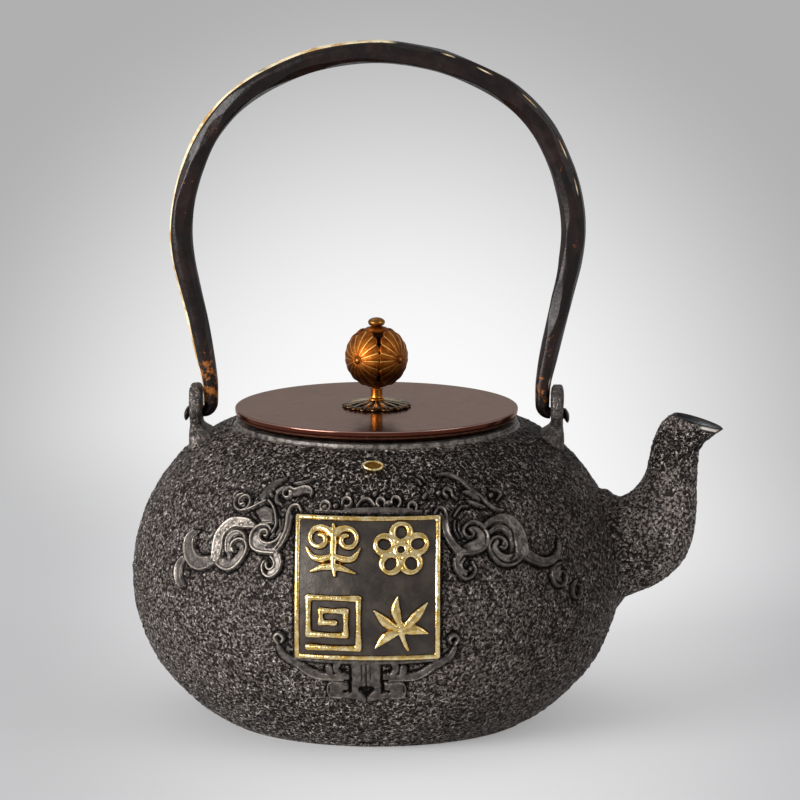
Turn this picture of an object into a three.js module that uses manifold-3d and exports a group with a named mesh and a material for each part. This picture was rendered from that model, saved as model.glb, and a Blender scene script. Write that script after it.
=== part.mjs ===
// Cast iron kettle: a round belly with a spout, a swinging bail between two lugs, a flat bronze lid
// with an openwork ball knob, and a gilt plaque among scroll reliefs on the front.
// Millimetres, +Z up. The origin is the centre of the flat base, +X points to the spout and -Y to the plaque.

import * as THREE from "three";
import { mergeVertices } from "three/addons/utils/BufferGeometryUtils.js";
import Module from "manifold-3d";

const wasm = await Module();
wasm.setup();

// Clearance between neighbouring pieces.
const GAP = 0.3;

// Belly: [radius, height] of the outer skin from the base edge to the mouth ring.
const BELLY = [
  [53.3, 0], [61.5, 5], [68.4, 11], [76.3, 20], [81.5, 30], [85.05, 42], [85.45, 55],
  [82.9, 68], [77.9, 80], [70.8, 90], [63.5, 97], [57, 101], [50.5, 103.5],
];
const WIDEST_RADIUS = 85;
const WIDEST_LEVEL_ALONG_SKIN = 67.6;
const WALL = 3.8;
const FLOOR = 4.2;
const BELLY_STEPS = 20;
const CAVITY_STEPS = 12;
const BELLY_SEGMENTS = 48;
const RING_RADIUS = 48;
const RING_TOP = 105;
const MOUTH_RADIUS = 44;

// Spout: its profile in the X-Z plane as [X, Z] on the belly side and on the outer side, and half its
// width in Y.
const SPOUT = [
  { near: [70, 76], far: [70, 40], half: 13 },
  { near: [79.5, 80.3], far: [83.7, 38.7], half: 14.5 },
  { near: [84.8, 77.8], far: [87.9, 42.3], half: 14 },
  { near: [89.7, 80.1], far: [98, 46.6], half: 12.9 },
  { near: [92.8, 83.9], far: [106.8, 53.8], half: 11.6 },
  { near: [94.4, 87.4], far: [110.9, 63.1], half: 10.4 },
  { near: [95.4, 91.4], far: [112.2, 73.1], half: 9.3 },
  { near: [96, 94.9], far: [112.3, 83.2], half: 8.3 },
  { near: [97.1, 98.9], far: [112.6, 90.3], half: 7.7 },
  { near: [98.6, 102.4], far: [113.7, 95.7], half: 7.4 },
  { near: [100.7, 105.5], far: [116.5, 98.7], half: 7.35 },
  { near: [103.6, 107.4], far: [121.2, 102.1], half: 7.5 },
];
const SPOUT_WALL = 2.6;
const SPOUT_SIDES = 22;
const CHANNEL_ROOT = { near: [66, 66.5], far: [66, 49.5], half: 7.5 };
const CHANNEL_THROAT = { near: [86.5, 70], far: [90.5, 54], half: 8.5 };
const CHANNEL_OVERRUN = 1.5;

// Lugs: rounded blocks stacked upwards, [height, inner X, outer X, half width in Y].
const LUG = [
  [91, 56.4, 65.7, 9.6], [98, 56.4, 65.6, 9.4], [100.4, 57, 65.5, 8.6], [102, 59.2, 65.3, 6.8],
  [103.6, 60.9, 65.2, 6], [105.4, 61, 65.3, 7.2], [108.4, 61, 65.4, 8.2], [112.4, 61, 65.5, 7.8],
  [115.4, 61.1, 65.4, 6.2], [116.8, 61.7, 64.9, 4.2],
];
const LUG_SIDES = 16;
const LUG_CORNER = 0.23;

// Bail: a bar bent to a horseshoe. [X, Z] of its middle line on the +X side from leg to apex, its
// thickness in the plane of the horseshoe and its width in Y.
const HINGE_HEIGHT = 107.4;
const BAIL = [
  { at: [58.05, 113.6], thick: 5.1, wide: 7.2 },
  { at: [58.4, 118.8], thick: 5.5, wide: 7.6 },
  { at: [60.0, 127.3], thick: 6.5, wide: 8 },
  { at: [62.3, 138.6], thick: 7.3, wide: 8.3 },
  { at: [64.9, 149.9], thick: 7.6, wide: 8.4 },
  { at: [67.3, 161.2], thick: 8, wide: 8.4 },
  { at: [68.2, 172.4], thick: 8.2, wide: 8.4 },
  { at: [66.9, 183.5], thick: 8.3, wide: 8.4 },
  { at: [63.4, 194.7], thick: 8.3, wide: 8.4 },
  { at: [57.3, 205.8], thick: 8.2, wide: 8.4 },
  { at: [47.3, 216.8], thick: 8.2, wide: 8.4 },
  { at: [35, 225.3], thick: 8.1, wide: 8.4 },
  { at: [19.5, 231.7], thick: 8.1, wide: 8.4 },
  { at: [0, 234.35], thick: 8.1, wide: 8.4 },
];
const BAIL_SIDES = 10;
const ELBOW_RADIUS = 2.9;
const TRUNNION_RADIUS = 1.9;
const TRUNNION_TIP = 67.3;
const HEAD_START = 65.9;
const HEAD_RADIUS = 2.8;
const LUG_HOLE_RADIUS = 2.4;

// Lid and the stack of pieces that carries the knob.
const LID_RADIUS = 49.5;
const LID_UNDERSIDE_RADIUS = 47;
const LID_TOP = 109.5;
const LID_UNDERSIDE = RING_TOP + GAP;
const FLANGE_INNER = 41.5;
const FLANGE_OUTER = 43.5;
const FLANGE_BOTTOM = 99.5;
const ROD_RADIUS = 1.15;
const ROD_HOLE_RADIUS = 1.5;
const ROD_BOTTOM = 98.6;
const FLOWER_RADIUS = 12.2;
const FLOWER_PETALS = 16;
const FLOWER_THICKNESS = 2;
const COLLAR_RADIUS = 2.05;
const BALL_RADIUS = 11;
const BALL_CENTRE = 127.1;
const BALL_WALL = 1.8;
const BALL_FLOWERS = 4;
const BALL_FLOWER_RADIUS = 6.6;
const BALL_FLOWER_TURN = -37;
const BALL_HOLE_RADIUS = 1.1;
const BUD_RADIUS = 2.8;
const BUD_TOP = 141;
const UNDER_WASHER_RADIUS = 6;
const UNDER_WASHER_BOTTOM = 103.7;
const NUT_ACROSS = 5.5;
const NUT_BOTTOM = 100.6;

// Plaque on the front of the belly. Heights are arc lengths along the skin from the widest level.
const PLAQUE_HALF_WIDTH = 24.6;
const PLAQUE_BOTTOM = -17.4;
const PLAQUE_TOP = 32.2;
const PLAQUE_BAR = 2.1;
const PLAQUE_BAR_HEIGHT = 1.3;
const GROUND_THICKNESS = 0.6;
const MOTIF_LIFT = GAP + GROUND_THICKNESS + GAP;
const MOTIF_HEIGHT = 0.8;
const RELIEF_HEIGHT = 0.9;

// Boss on the shoulder: its middle and half its size, as [way round, way up the skin].
const SEAL_PLACE = [1.6, 52.7];
const SEAL_HALF = [5.2, 2.1];
const SEAL_HEIGHT = 1.1;

const IRON = material("#3d3936", 0.75, 0.6);
const DARK_IRON = material("#34302f", 0.6, 0.7);
const RELIEF_IRON = material("#4b4745", 0.5, 0.75);
const BRONZE = material("#5e4a41", 0.35, 0.85);
const ANTIQUE = material("#6f6152", 0.4, 0.85);
const GILT = material("#c89a3c", 0.3, 1);
const LACQUER = material("#2a1a16", 0.4, 0.5);

function material(color, roughness, metalness) {
  return new THREE.MeshStandardMaterial({ color, roughness, metalness });
}

// Booleans

function toSolid(geometry) {
  const bare = new THREE.BufferGeometry();
  const flat = geometry.index ? geometry.toNonIndexed() : geometry;
  bare.setAttribute("position", flat.getAttribute("position"));
  const merged = mergeVertices(bare, 1e-4);
  const vertProperties = merged.attributes.position.array;
  const triVerts = new Uint32Array(merged.index.array);
  const solid = new wasm.Manifold(new wasm.Mesh({ numProp: 3, vertProperties, triVerts }));
  if (solid.volume() >= 0) return solid;
  for (let i = 0; i < triVerts.length; i += 3) {
    [triVerts[i + 1], triVerts[i + 2]] = [triVerts[i + 2], triVerts[i + 1]];
  }
  return new wasm.Manifold(new wasm.Mesh({ numProp: 3, vertProperties, triVerts }));
}

function toGeometry(solid) {
  const { vertProperties, triVerts } = solid.getMesh();
  const geometry = new THREE.BufferGeometry();
  geometry.setAttribute("position", new THREE.BufferAttribute(new Float32Array(vertProperties), 3));
  geometry.setIndex(new THREE.BufferAttribute(new Uint32Array(triVerts), 1));
  geometry.computeVertexNormals();
  return geometry;
}

function join(solids) {
  return solids.reduce((all, solid) => all.add(solid));
}

// Shapes

// Skin through a list of rings of points, closed by a cap at each end, or into itself when `loop` is set.
function loft(rings, loop = false) {
  const count = rings[0].length;
  const points = rings.flat();
  const index = [];
  const last = loop ? rings.length : rings.length - 1;
  for (let i = 0; i < last; i++) {
    const here = i * count;
    const next = ((i + 1) % rings.length) * count;
    for (let j = 0; j < count; j++) {
      const k = (j + 1) % count;
      index.push(here + j, here + k, next + k, here + j, next + k, next + j);
    }
  }
  if (!loop) {
    const top = (rings.length - 1) * count;
    for (let j = 1; j < count - 1; j++) {
      index.push(0, j + 1, j, top, top + j, top + j + 1);
    }
  }
  const geometry = new THREE.BufferGeometry().setFromPoints(points);
  geometry.setIndex(index);
  return toSolid(geometry);
}

// Solid of revolution about Z from [radius, height] points; a profile off the axis closes on itself.
function turned(profile, segments) {
  const points = profile.map(([r, z]) => new THREE.Vector2(r, z));
  const [first, last] = [points[0], points[points.length - 1]];
  if (first.x > 0 || last.x > 0) points.push(first.clone());
  const geometry = new THREE.LatheGeometry(points, segments);
  return toSolid(geometry.rotateX(Math.PI / 2));
}

// Round bar along an axis ("x" or "z") from one coordinate to another.
function roundBar(radius, from, to, axis, sides = 24) {
  const geometry = new THREE.CylinderGeometry(radius, radius, to - from, sides);
  geometry.translate(0, (from + to) / 2, 0);
  if (axis === "x") geometry.rotateZ(-Math.PI / 2);
  if (axis === "z") geometry.rotateX(Math.PI / 2);
  return toSolid(geometry);
}

// Ring of an ellipse with its half axes along two directions.
function ellipse(centre, along, across, sides) {
  return Array.from({ length: sides }, (_, i) => {
    const a = (2 * Math.PI * i) / sides;
    return centre.clone().addScaledVector(along, Math.cos(a)).addScaledVector(across, Math.sin(a));
  });
}

// Belly skin

const skin = new THREE.SplineCurve(BELLY.map(([r, z]) => new THREE.Vector2(r, z)));
skin.arcLengthDivisions = 400;
const SKIN_LENGTH = skin.getLength();

// Point of the skin at a share of its length, moved outwards along the skin's normal.
function skinPoint(share, lift) {
  const point = skin.getPointAt(share);
  const tangent = skin.getTangentAt(share);
  return [point.x + tangent.y * lift, point.y - tangent.x * lift];
}

// Place on the belly: `u` is the way round at the widest radius from the front, `v` the way up the skin.
function onBelly(u, v, lift) {
  const [r, z] = skinPoint((WIDEST_LEVEL_ALONG_SKIN + v) / SKIN_LENGTH, lift);
  const turn = -Math.PI / 2 + u / WIDEST_RADIUS;
  return new THREE.Vector3(r * Math.cos(turn), r * Math.sin(turn), z);
}

// The same with a true sideways distance `x` in place of `u`, so that upright lines stay upright.
function onFront(x, v, lift) {
  const [r] = skinPoint((WIDEST_LEVEL_ALONG_SKIN + v) / SKIN_LENGTH, 0);
  return onBelly(WIDEST_RADIUS * Math.asin(x / r), v, lift);
}

function bellyMass(lift) {
  const profile = [[0, -1 - lift], [BELLY[0][0] + lift, -1 - lift]];
  for (let i = 0; i <= BELLY_STEPS; i++) profile.push(skinPoint(i / BELLY_STEPS, lift));
  profile.push([0, RING_TOP + lift]);
  return turned(profile, BELLY_SEGMENTS);
}

function kettleBody() {
  const profile = [[0, 0]];
  for (let i = 0; i <= BELLY_STEPS; i++) profile.push(skinPoint(i / BELLY_STEPS, 0));
  profile.push([RING_RADIUS, 103.8], [RING_RADIUS - 0.6, RING_TOP], [MOUTH_RADIUS, RING_TOP]);
  for (let i = CAVITY_STEPS; i >= 0; i--) {
    const [r, z] = skinPoint(i / CAVITY_STEPS, -WALL);
    if (z > FLOOR + 1) profile.push([Math.max(r, MOUTH_RADIUS), z]);
  }
  profile.push([BELLY[0][0] - 1, FLOOR], [0, FLOOR]);
  return turned(profile, BELLY_SEGMENTS).subtract(spoutChannel());
}

// Spout

function spoutRing({ near, far, half }, wall) {
  const a = new THREE.Vector3(near[0], 0, near[1]);
  const b = new THREE.Vector3(far[0], 0, far[1]);
  const along = b.clone().sub(a).divideScalar(2);
  const length = along.length();
  along.multiplyScalar((length - wall) / length);
  return ellipse(a.add(b).divideScalar(2), along, new THREE.Vector3(0, half - wall, 0), SPOUT_SIDES);
}

// Waterway from the belly's inside to the mouth, run out a little past the lip.
function spoutChannel() {
  const lip = SPOUT[SPOUT.length - 1];
  const lean = [lip.far[0] - lip.near[0], lip.far[1] - lip.near[1]];
  const reach = CHANNEL_OVERRUN / Math.hypot(...lean);
  const out = ([x, z]) => [x - lean[1] * reach, z + lean[0] * reach];
  const past = { near: out(lip.near), far: out(lip.far), half: lip.half };
  const rings = [spoutRing(CHANNEL_ROOT, 0), spoutRing(CHANNEL_THROAT, 0)];
  SPOUT.slice(4).concat(past).forEach((station) => rings.push(spoutRing(station, SPOUT_WALL)));
  return loft(rings);
}

function spout() {
  const outside = loft(SPOUT.map((station) => spoutRing(station, 0)));
  return outside.subtract(bellyMass(GAP)).subtract(spoutChannel());
}

// Lugs and bail

function roundedBlock([height, inner, outer, half]) {
  const middle = (inner + outer) / 2;
  return Array.from({ length: LUG_SIDES }, (_, i) => {
    const a = (2 * Math.PI * (i + 0.5)) / LUG_SIDES;
    const square = (t) => Math.sign(t) * Math.abs(t) ** (2 * LUG_CORNER);
    const x = middle + square(Math.cos(a)) * (outer - inner) * 0.5;
    return new THREE.Vector3(x, square(Math.sin(a)) * half, height);
  });
}

function lug(side) {
  const hole = roundBar(LUG_HOLE_RADIUS, 50, 75, "x").translate([0, 0, HINGE_HEIGHT]);
  const block = loft(LUG.map(roundedBlock)).subtract(bellyMass(GAP)).subtract(hole);
  return side > 0 ? block : block.rotate([0, 0, 180]);
}

// Stations of the +X half of the bail from the tip of its trunnion, through the elbow, up to the apex.
function bailStations() {
  const leg = BAIL[0];
  const centre = [leg.at[0] + ELBOW_RADIUS, HINGE_HEIGHT + ELBOW_RADIUS];
  const pin = 2 * TRUNNION_RADIUS;
  const stations = [
    { at: [TRUNNION_TIP, HINGE_HEIGHT], thick: pin, wide: pin },
    { at: [centre[0] + 0.4, HINGE_HEIGHT], thick: pin, wide: pin },
  ];
  for (let i = 0; i <= 4; i++) {
    const a = ((90 - 22.5 * i) * Math.PI) / 180;
    const share = i / 4;
    stations.push({
      at: [centre[0] - ELBOW_RADIUS * Math.cos(a), centre[1] - ELBOW_RADIUS * Math.sin(a)],
      thick: THREE.MathUtils.lerp(pin, leg.thick - 0.2, share),
      wide: THREE.MathUtils.lerp(pin, leg.wide - 0.4, share),
    });
  }
  return stations.concat(BAIL);
}

function bailHandle() {
  const half = bailStations();
  const mirrored = half.slice(0, -1).reverse().map((s) => ({ ...s, at: [-s.at[0], s.at[1]] }));
  const stations = half.concat(mirrored);
  const rings = stations.map((station, i) => {
    const before = stations[Math.max(i - 1, 0)].at;
    const after = stations[Math.min(i + 1, stations.length - 1)].at;
    const outwards = new THREE.Vector3(after[1] - before[1], 0, before[0] - after[0]);
    outwards.setLength(station.thick / 2);
    const [x, z] = station.at;
    const sideways = new THREE.Vector3(0, station.wide / 2, 0);
    return ellipse(new THREE.Vector3(x, 0, z), outwards, sideways, BAIL_SIDES);
  });
  const head = roundBar(HEAD_RADIUS, HEAD_START, TRUNNION_TIP + 0.2, "x", 16).translate([0, 0, HINGE_HEIGHT]);
  return join([loft(rings), head, head.rotate([0, 0, 180])]);
}

// Lid

function lidPlate() {
  const rim = [];
  for (let i = 0; i <= 3; i++) {
    const a = (i / 3) * (Math.PI / 2);
    const r = LID_UNDERSIDE_RADIUS + (LID_RADIUS - LID_UNDERSIDE_RADIUS) * Math.sin(a);
    rim.push([r, LID_UNDERSIDE + 0.4 + (LID_TOP - LID_UNDERSIDE - 0.6) * (1 - Math.cos(a))]);
  }
  const profile = [[ROD_HOLE_RADIUS, LID_UNDERSIDE], [LID_UNDERSIDE_RADIUS - 0.5, LID_UNDERSIDE]];
  profile.push(...rim, [LID_RADIUS - 0.2, LID_TOP], [ROD_HOLE_RADIUS, LID_TOP]);
  return turned(profile, 48);
}

function lidFlange() {
  const top = LID_UNDERSIDE - GAP;
  return turned([
    [FLANGE_INNER, FLANGE_BOTTOM], [FLANGE_OUTER - 0.5, FLANGE_BOTTOM],
    [FLANGE_OUTER, FLANGE_BOTTOM + 1], [FLANGE_OUTER, top], [FLANGE_INNER, top],
  ], 40);
}

function flowerWasher() {
  const steps = FLOWER_PETALS * 4;
  const outline = Array.from({ length: steps }, (_, i) => {
    const a = (2 * Math.PI * i) / steps;
    const petal = Math.abs(Math.sin((a * FLOWER_PETALS) / 2));
    const r = FLOWER_RADIUS * (0.93 + 0.07 * Math.sqrt(petal));
    return [Math.cos(a) * r, Math.sin(a) * r];
  });
  const level = (z, scale) => outline.map(([x, y]) => new THREE.Vector3(x * scale, y * scale, z));
  const bottom = LID_TOP + GAP;
  const top = bottom + FLOWER_THICKNESS;
  const disc = loft([level(bottom, 0.97), level(bottom + 1.1, 1), level(top - 0.2, 0.8), level(top, 0.25)]);
  return disc.subtract(roundBar(ROD_HOLE_RADIUS, bottom - 1, top + 1, "z", 16));
}

function knobCollar() {
  const bottom = LID_TOP + FLOWER_THICKNESS + 2 * GAP;
  const top = BALL_CENTRE - BALL_RADIUS - GAP;
  return turned([
    [ROD_HOLE_RADIUS, bottom], [COLLAR_RADIUS + 0.5, bottom], [COLLAR_RADIUS, bottom + 0.8],
    [COLLAR_RADIUS, top - 0.6], [COLLAR_RADIUS + 0.4, top], [ROD_HOLE_RADIUS, top],
  ], 20);
}

function sphere(radius, columns, rows) {
  return toSolid(new THREE.SphereGeometry(radius, columns, rows).rotateX(Math.PI / 2));
}

// Hollow ball of flowers: a disc at each flower's face, pierced where the flowers meet.
function knobBall() {
  let ball = sphere(BALL_RADIUS - 0.3, 20, 12);
  const disc = turned([
    [0, BALL_RADIUS - 3], [BALL_FLOWER_RADIUS, BALL_RADIUS - 3],
    [BALL_FLOWER_RADIUS - 0.6, BALL_RADIUS - 1.6], [2.4, BALL_RADIUS], [0, BALL_RADIUS],
  ], 12).rotate([0, 90, 0]);
  const pierce = roundBar(BALL_HOLE_RADIUS, 0, BALL_RADIUS + 1, "x", 8);
  const pitch = 360 / BALL_FLOWERS;
  for (let i = 0; i < BALL_FLOWERS; i++) {
    ball = ball.add(disc.rotate([0, 0, BALL_FLOWER_TURN + i * pitch]));
  }
  ball = ball.subtract(sphere(BALL_RADIUS - BALL_WALL, 12, 8));
  for (let i = 0; i < BALL_FLOWERS; i++) {
    const between = BALL_FLOWER_TURN + (i + 0.5) * pitch;
    [-34, 34].forEach((tilt) => {
      ball = ball.subtract(pierce.rotate([0, tilt, 0]).rotate([0, 0, between]));
    });
  }
  return ball.subtract(roundBar(ROD_HOLE_RADIUS, -20, 20, "z", 16)).translate([0, 0, BALL_CENTRE]);
}

function knobRod() {
  const under = BALL_CENTRE + BALL_RADIUS + GAP;
  return turned([
    [0, ROD_BOTTOM], [ROD_RADIUS - 0.2, ROD_BOTTOM], [ROD_RADIUS, ROD_BOTTOM + 0.3], [ROD_RADIUS, under],
    [BUD_RADIUS - 0.8, under], [BUD_RADIUS, under + 0.7], [BUD_RADIUS - 0.3, under + 1.5],
    [BUD_RADIUS - 1.3, BUD_TOP - 0.35], [0, BUD_TOP],
  ], 20);
}

function underWasher() {
  const top = LID_UNDERSIDE - GAP;
  return turned([
    [ROD_HOLE_RADIUS, UNDER_WASHER_BOTTOM], [UNDER_WASHER_RADIUS, UNDER_WASHER_BOTTOM],
    [UNDER_WASHER_RADIUS, top], [ROD_HOLE_RADIUS, top],
  ], 24);
}

function knobNut() {
  const top = UNDER_WASHER_BOTTOM - GAP;
  const hexagon = roundBar(NUT_ACROSS / Math.sqrt(3), NUT_BOTTOM, top, "z", 6);
  return hexagon.subtract(roundBar(ROD_HOLE_RADIUS, NUT_BOTTOM - 1, top + 1, "z", 16));
}

// Reliefs

// Raised bar along a line of [sideways, up] points on the belly. `half` gives half its width at a share
// of the line, `place` is onBelly or onFront, and a line that ends where it starts closes on itself.
function bar(line, half, { place = onBelly, lift = GAP, height = RELIEF_HEIGHT, loop = false } = {}) {
  const rings = line.map(([u, v], i) => {
    const before = line[loop ? (i + line.length - 1) % line.length : Math.max(i - 1, 0)];
    const after = line[loop ? (i + 1) % line.length : Math.min(i + 1, line.length - 1)];
    const length = Math.hypot(after[0] - before[0], after[1] - before[1]);
    const side = [(before[1] - after[1]) / length, (after[0] - before[0]) / length];
    const reach = half(i / (line.length - 1));
    const corner = (way, up) => place(u + side[0] * way, v + side[1] * way, lift + up);
    return [corner(-reach, 0), corner(reach, 0), corner(reach * 0.6, height), corner(-reach * 0.6, height)];
  });
  return loft(rings, loop);
}

// Smooth line through a few points.
function through(points, steps) {
  const curve = new THREE.SplineCurve(points.map(([x, y]) => new THREE.Vector2(x, y)));
  return curve.getSpacedPoints(steps).map((p) => [p.x, p.y]);
}

// Spiral about a centre: radius and angle in degrees run evenly from the first value to the second.
function spiral([x, y], [fromRadius, toRadius], [fromAngle, toAngle], steps) {
  return Array.from({ length: steps + 1 }, (_, i) => {
    const r = THREE.MathUtils.lerp(fromRadius, toRadius, i / steps);
    const a = THREE.MathUtils.degToRad(THREE.MathUtils.lerp(fromAngle, toAngle, i / steps));
    return [x + r * Math.cos(a), y + r * Math.sin(a)];
  });
}

const swell = (least, most) => (t) => least + (most - least) * Math.sin(Math.PI * t);
const taper = (from, to) => (t) => THREE.MathUtils.lerp(from, to, t);
const even = (half) => () => half;

// Scrolls beside the plaque, drawn for the +X side and mirrored by `side`.
function sideRelief(side) {
  const mirror = (line) => line.map(([u, v]) => [side * u, v]);
  const band = [[44.5, 25.5], [47.5, 27.4], [52, 27.6], [56.5, 25], [58.3, 20], [58, 14.5]];
  const strand = [[29.4, 34.4], [31.2, 32.8], [31.6, 28], [31.4, 23.6], [33.2, 19.6], [32.6, 15], [33.2, 12]];
  const bridge = [[33.4, 19.4], [36.6, 26], [37.2, 31], [41.6, 35.2], [46, 33.2], [50.8, 31.2]];
  const strokes = [
    [through(band, 9), swell(0.9, 2.1)],
    [spiral([51, 18.6], [8.4, 2.4], [-30, -440], 15), taper(1.3, 0.6)],
    [through([[58, 15], [62, 11.4], [67, 10.6], [71, 14], [72.5, 19]], 6), taper(1.4, 0.5)],
    [through(strand, 10), even(0.9)],
    [spiral([35, 13], [2.1, 1.2], [210, 430], 6), taper(0.9, 0.5)],
    [through([[33, 19.6], [37, 18.4], [41, 19], [44.2, 21.8], [44, 25], [41.4, 27.2]], 7), taper(1.1, 0.8)],
    [spiral([38.4, 24.2], [4.2, 1.2], [45, 350], 9), taper(0.8, 0.5)],
    [through(bridge, 10), swell(0.6, 1)],
    [spiral([52.8, 34.2], [3.6, 1.4], [220, 540], 8), taper(0.8, 0.5)],
  ];
  return join(strokes.map(([line, half]) => bar(mirror(line), half)));
}

// Row of small curls along the top edge of the plaque.
function topRelief() {
  const curls = [-17.5, -8, 3.8, 11, 17.5];
  const rail = through([[-21, 34.6], [0, 34.9], [21, 34.6]], 14);
  const solids = [bar(rail, even(0.8))];
  curls.forEach((u) => solids.push(bar(spiral([u, 36.6], [1.9, 0.9], [-90, 220], 6), taper(0.7, 0.5))));
  solids.push(bar([[-1.6, 35], [-1.6, 38.6]], even(1.5)));
  return join(solids);
}

// Bracket that hangs from the bottom edge of the plaque.
function bottomRelief() {
  const solids = [
    bar(through([[0, -20], [0, -27], [0, -34.4]], 7), (t) => 4.2 * (1 - 0.75 * t ** 4)),
    bar(through([[-13.6, -29.6], [0, -29.6], [13.6, -29.6]], 12), even(3)),
  ];
  [-1, 1].forEach((side) => {
    const arm = [[24.5, -19.9], [20.5, -21.8], [14, -23.6], [7, -23.2], [0, -22.6]];
    solids.push(bar(through(arm.map(([u, v]) => [side * u, v]), 12), even(1.6)));
  });
  return join(solids);
}

function plaqueGround() {
  const inset = PLAQUE_BAR + 2 * GAP;
  const steps = 8;
  const half = PLAQUE_HALF_WIDTH - inset;
  const rings = Array.from({ length: steps + 1 }, (_, i) => {
    const v = THREE.MathUtils.lerp(PLAQUE_BOTTOM + inset, PLAQUE_TOP - inset, i / steps);
    const row = (lift) => Array.from({ length: steps + 1 }, (_, j) =>
      onFront(THREE.MathUtils.lerp(-half, half, j / steps), v, lift));
    return row(GAP).concat(row(GAP + GROUND_THICKNESS).reverse());
  });
  return capStrips(rings);
}

// Loft whose end caps are strips between the two rows of each end ring, so that a curved slab stays clear.
function capStrips(rings) {
  const count = rings[0].length;
  const index = [];
  for (let i = 0; i < rings.length - 1; i++) {
    for (let j = 0; j < count; j++) {
      const k = (j + 1) % count;
      const [here, next] = [i * count, (i + 1) * count];
      index.push(here + j, here + k, next + k, here + j, next + k, next + j);
    }
  }
  [0, (rings.length - 1) * count].forEach((start, end) => {
    for (let j = 0; j < count / 2 - 1; j++) {
      const quad = [start + j, start + j + 1, start + count - 2 - j, start + count - 1 - j];
      const order = end ? [0, 1, 2, 0, 2, 3] : [0, 2, 1, 0, 3, 2];
      order.forEach((corner) => index.push(quad[corner]));
    }
  });
  const geometry = new THREE.BufferGeometry().setFromPoints(rings.flat());
  geometry.setIndex(index);
  return toSolid(geometry);
}

function plaqueFrame() {
  const half = PLAQUE_HALF_WIDTH - PLAQUE_BAR / 2;
  const low = PLAQUE_BOTTOM + PLAQUE_BAR / 2;
  const high = PLAQUE_TOP - PLAQUE_BAR / 2;
  const corners = [[-half, low], [half, low], [half, high], [-half, high]];
  const sides = corners.map((from, i) => {
    const to = corners[(i + 1) % 4];
    const [dx, dv] = [Math.sign(to[0] - from[0]), Math.sign(to[1] - from[1])];
    const start = [from[0] - (dx * PLAQUE_BAR) / 2, from[1] - (dv * PLAQUE_BAR) / 2];
    const end = [to[0] + (dx * PLAQUE_BAR) / 2, to[1] + (dv * PLAQUE_BAR) / 2];
    const line = Array.from({ length: 11 }, (_, k) => [
      THREE.MathUtils.lerp(start[0], end[0], k / 10), THREE.MathUtils.lerp(start[1], end[1], k / 10),
    ]);
    return bar(line, even(PLAQUE_BAR / 2), { place: onFront, height: PLAQUE_BAR_HEIGHT });
  });
  return join(sides);
}

// Gilt ornaments, one in each quarter of the plaque

function ornament([x, v], strokes) {
  return join(strokes.map(([line, half]) =>
    bar(line.map((p) => [x + p[0], v + p[1]]), half,
      { place: onFront, lift: MOTIF_LIFT, height: MOTIF_HEIGHT })));
}

function cloudMotif() {
  const strokes = [];
  [-1, 1].forEach((side) => {
    const mirrored = (line) => line.map(([x, v]) => [side * x, v]);
    strokes.push([mirrored(spiral([4.6, 3.4], [4.2, 1.2], [150, -290], 11)), taper(1, 0.7)]);
    strokes.push([mirrored(through([[0, -1.6], [3.6, -2.6], [7.6, -1.2], [9.2, 2]], 7)), taper(0.9, 0.6)]);
  });
  strokes.push([through([[0, 8.6], [0, 3], [0, -3], [0.8, -8.6]], 9), taper(1.2, 0.7)]);
  strokes.push([through([[-6.4, -6.4], [0, -5.6], [6.4, -7]], 7), swell(0.5, 1)]);
  return ornament([-11.6, 20], strokes);
}

function blossomMotif() {
  const strokes = [[spiral([0, 0], [2.2, 2.2], [0, 345], 8), even(0.9)]];
  for (let i = 0; i < 5; i++) {
    const a = ((90 + 72 * i) * Math.PI) / 180;
    const centre = [5.9 * Math.cos(a), 5.9 * Math.sin(a)];
    strokes.push([spiral(centre, [2.9, 2.9], [72 * i - 90, 72 * i + 250], 8), even(0.8)]);
  }
  return ornament([11.4, 20.4], strokes);
}

function fretMotif() {
  const turns = [
    [-8.6, -8.6], [8.6, -8.6], [8.6, 8.6], [-8.6, 8.6], [-8.6, -4.4], [4.4, -4.4], [4.4, 4.4],
    [-4.4, 4.4], [-4.4, 0], [0.6, 0],
  ];
  const strokes = turns.slice(1).map((to, i) => {
    const from = turns[i];
    const reach = 0.95 / Math.hypot(to[0] - from[0], to[1] - from[1]);
    const line = [-reach, 0.33, 0.67, 1 + reach].map((t) => [
      THREE.MathUtils.lerp(from[0], to[0], t), THREE.MathUtils.lerp(from[1], to[1], t),
    ]);
    return [line, even(0.95)];
  });
  return ornament([-11.2, -4.4], strokes);
}

function leafMotif() {
  const leaves = [
    [[-0.2, -2], [-4.4, 0], [-9, 4.4]], [[0, -1], [-1.6, 4.4], [-1, 9.4]], [[0.4, -2], [4.6, 1.6], [9, 6.6]],
    [[0.4, -3], [5, -2.4], [9.4, -3.6]], [[-0.2, -3], [-4.6, -4.6], [-8.6, -8.4]],
  ];
  const strokes = leaves.map((leaf) => [through(leaf, 8), swell(0.35, 1.7)]);
  strokes.push([through([[0, 0], [0.6, -4.4], [2.4, -9.4]], 6), even(0.8)]);
  return ornament([11.2, -4.2], strokes);
}

// Small bare boss on the shoulder above the plaque.
function shoulderSeal() {
  const level = (lift, scale) => Array.from({ length: 16 }, (_, i) => {
    const a = (2 * Math.PI * i) / 16;
    const [u, v] = [SEAL_HALF[0] * scale * Math.cos(a), SEAL_HALF[1] * scale * Math.sin(a)];
    return onBelly(SEAL_PLACE[0] + u, SEAL_PLACE[1] + v, lift);
  });
  return loft([level(GAP, 1), level(GAP + 0.8, 0.95), level(GAP + SEAL_HEIGHT, 0.7)]);
}

// Assembly

function piece(name, solid, finish) {
  const mesh = new THREE.Mesh(toGeometry(solid), finish);
  mesh.name = name;
  return mesh;
}

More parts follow.
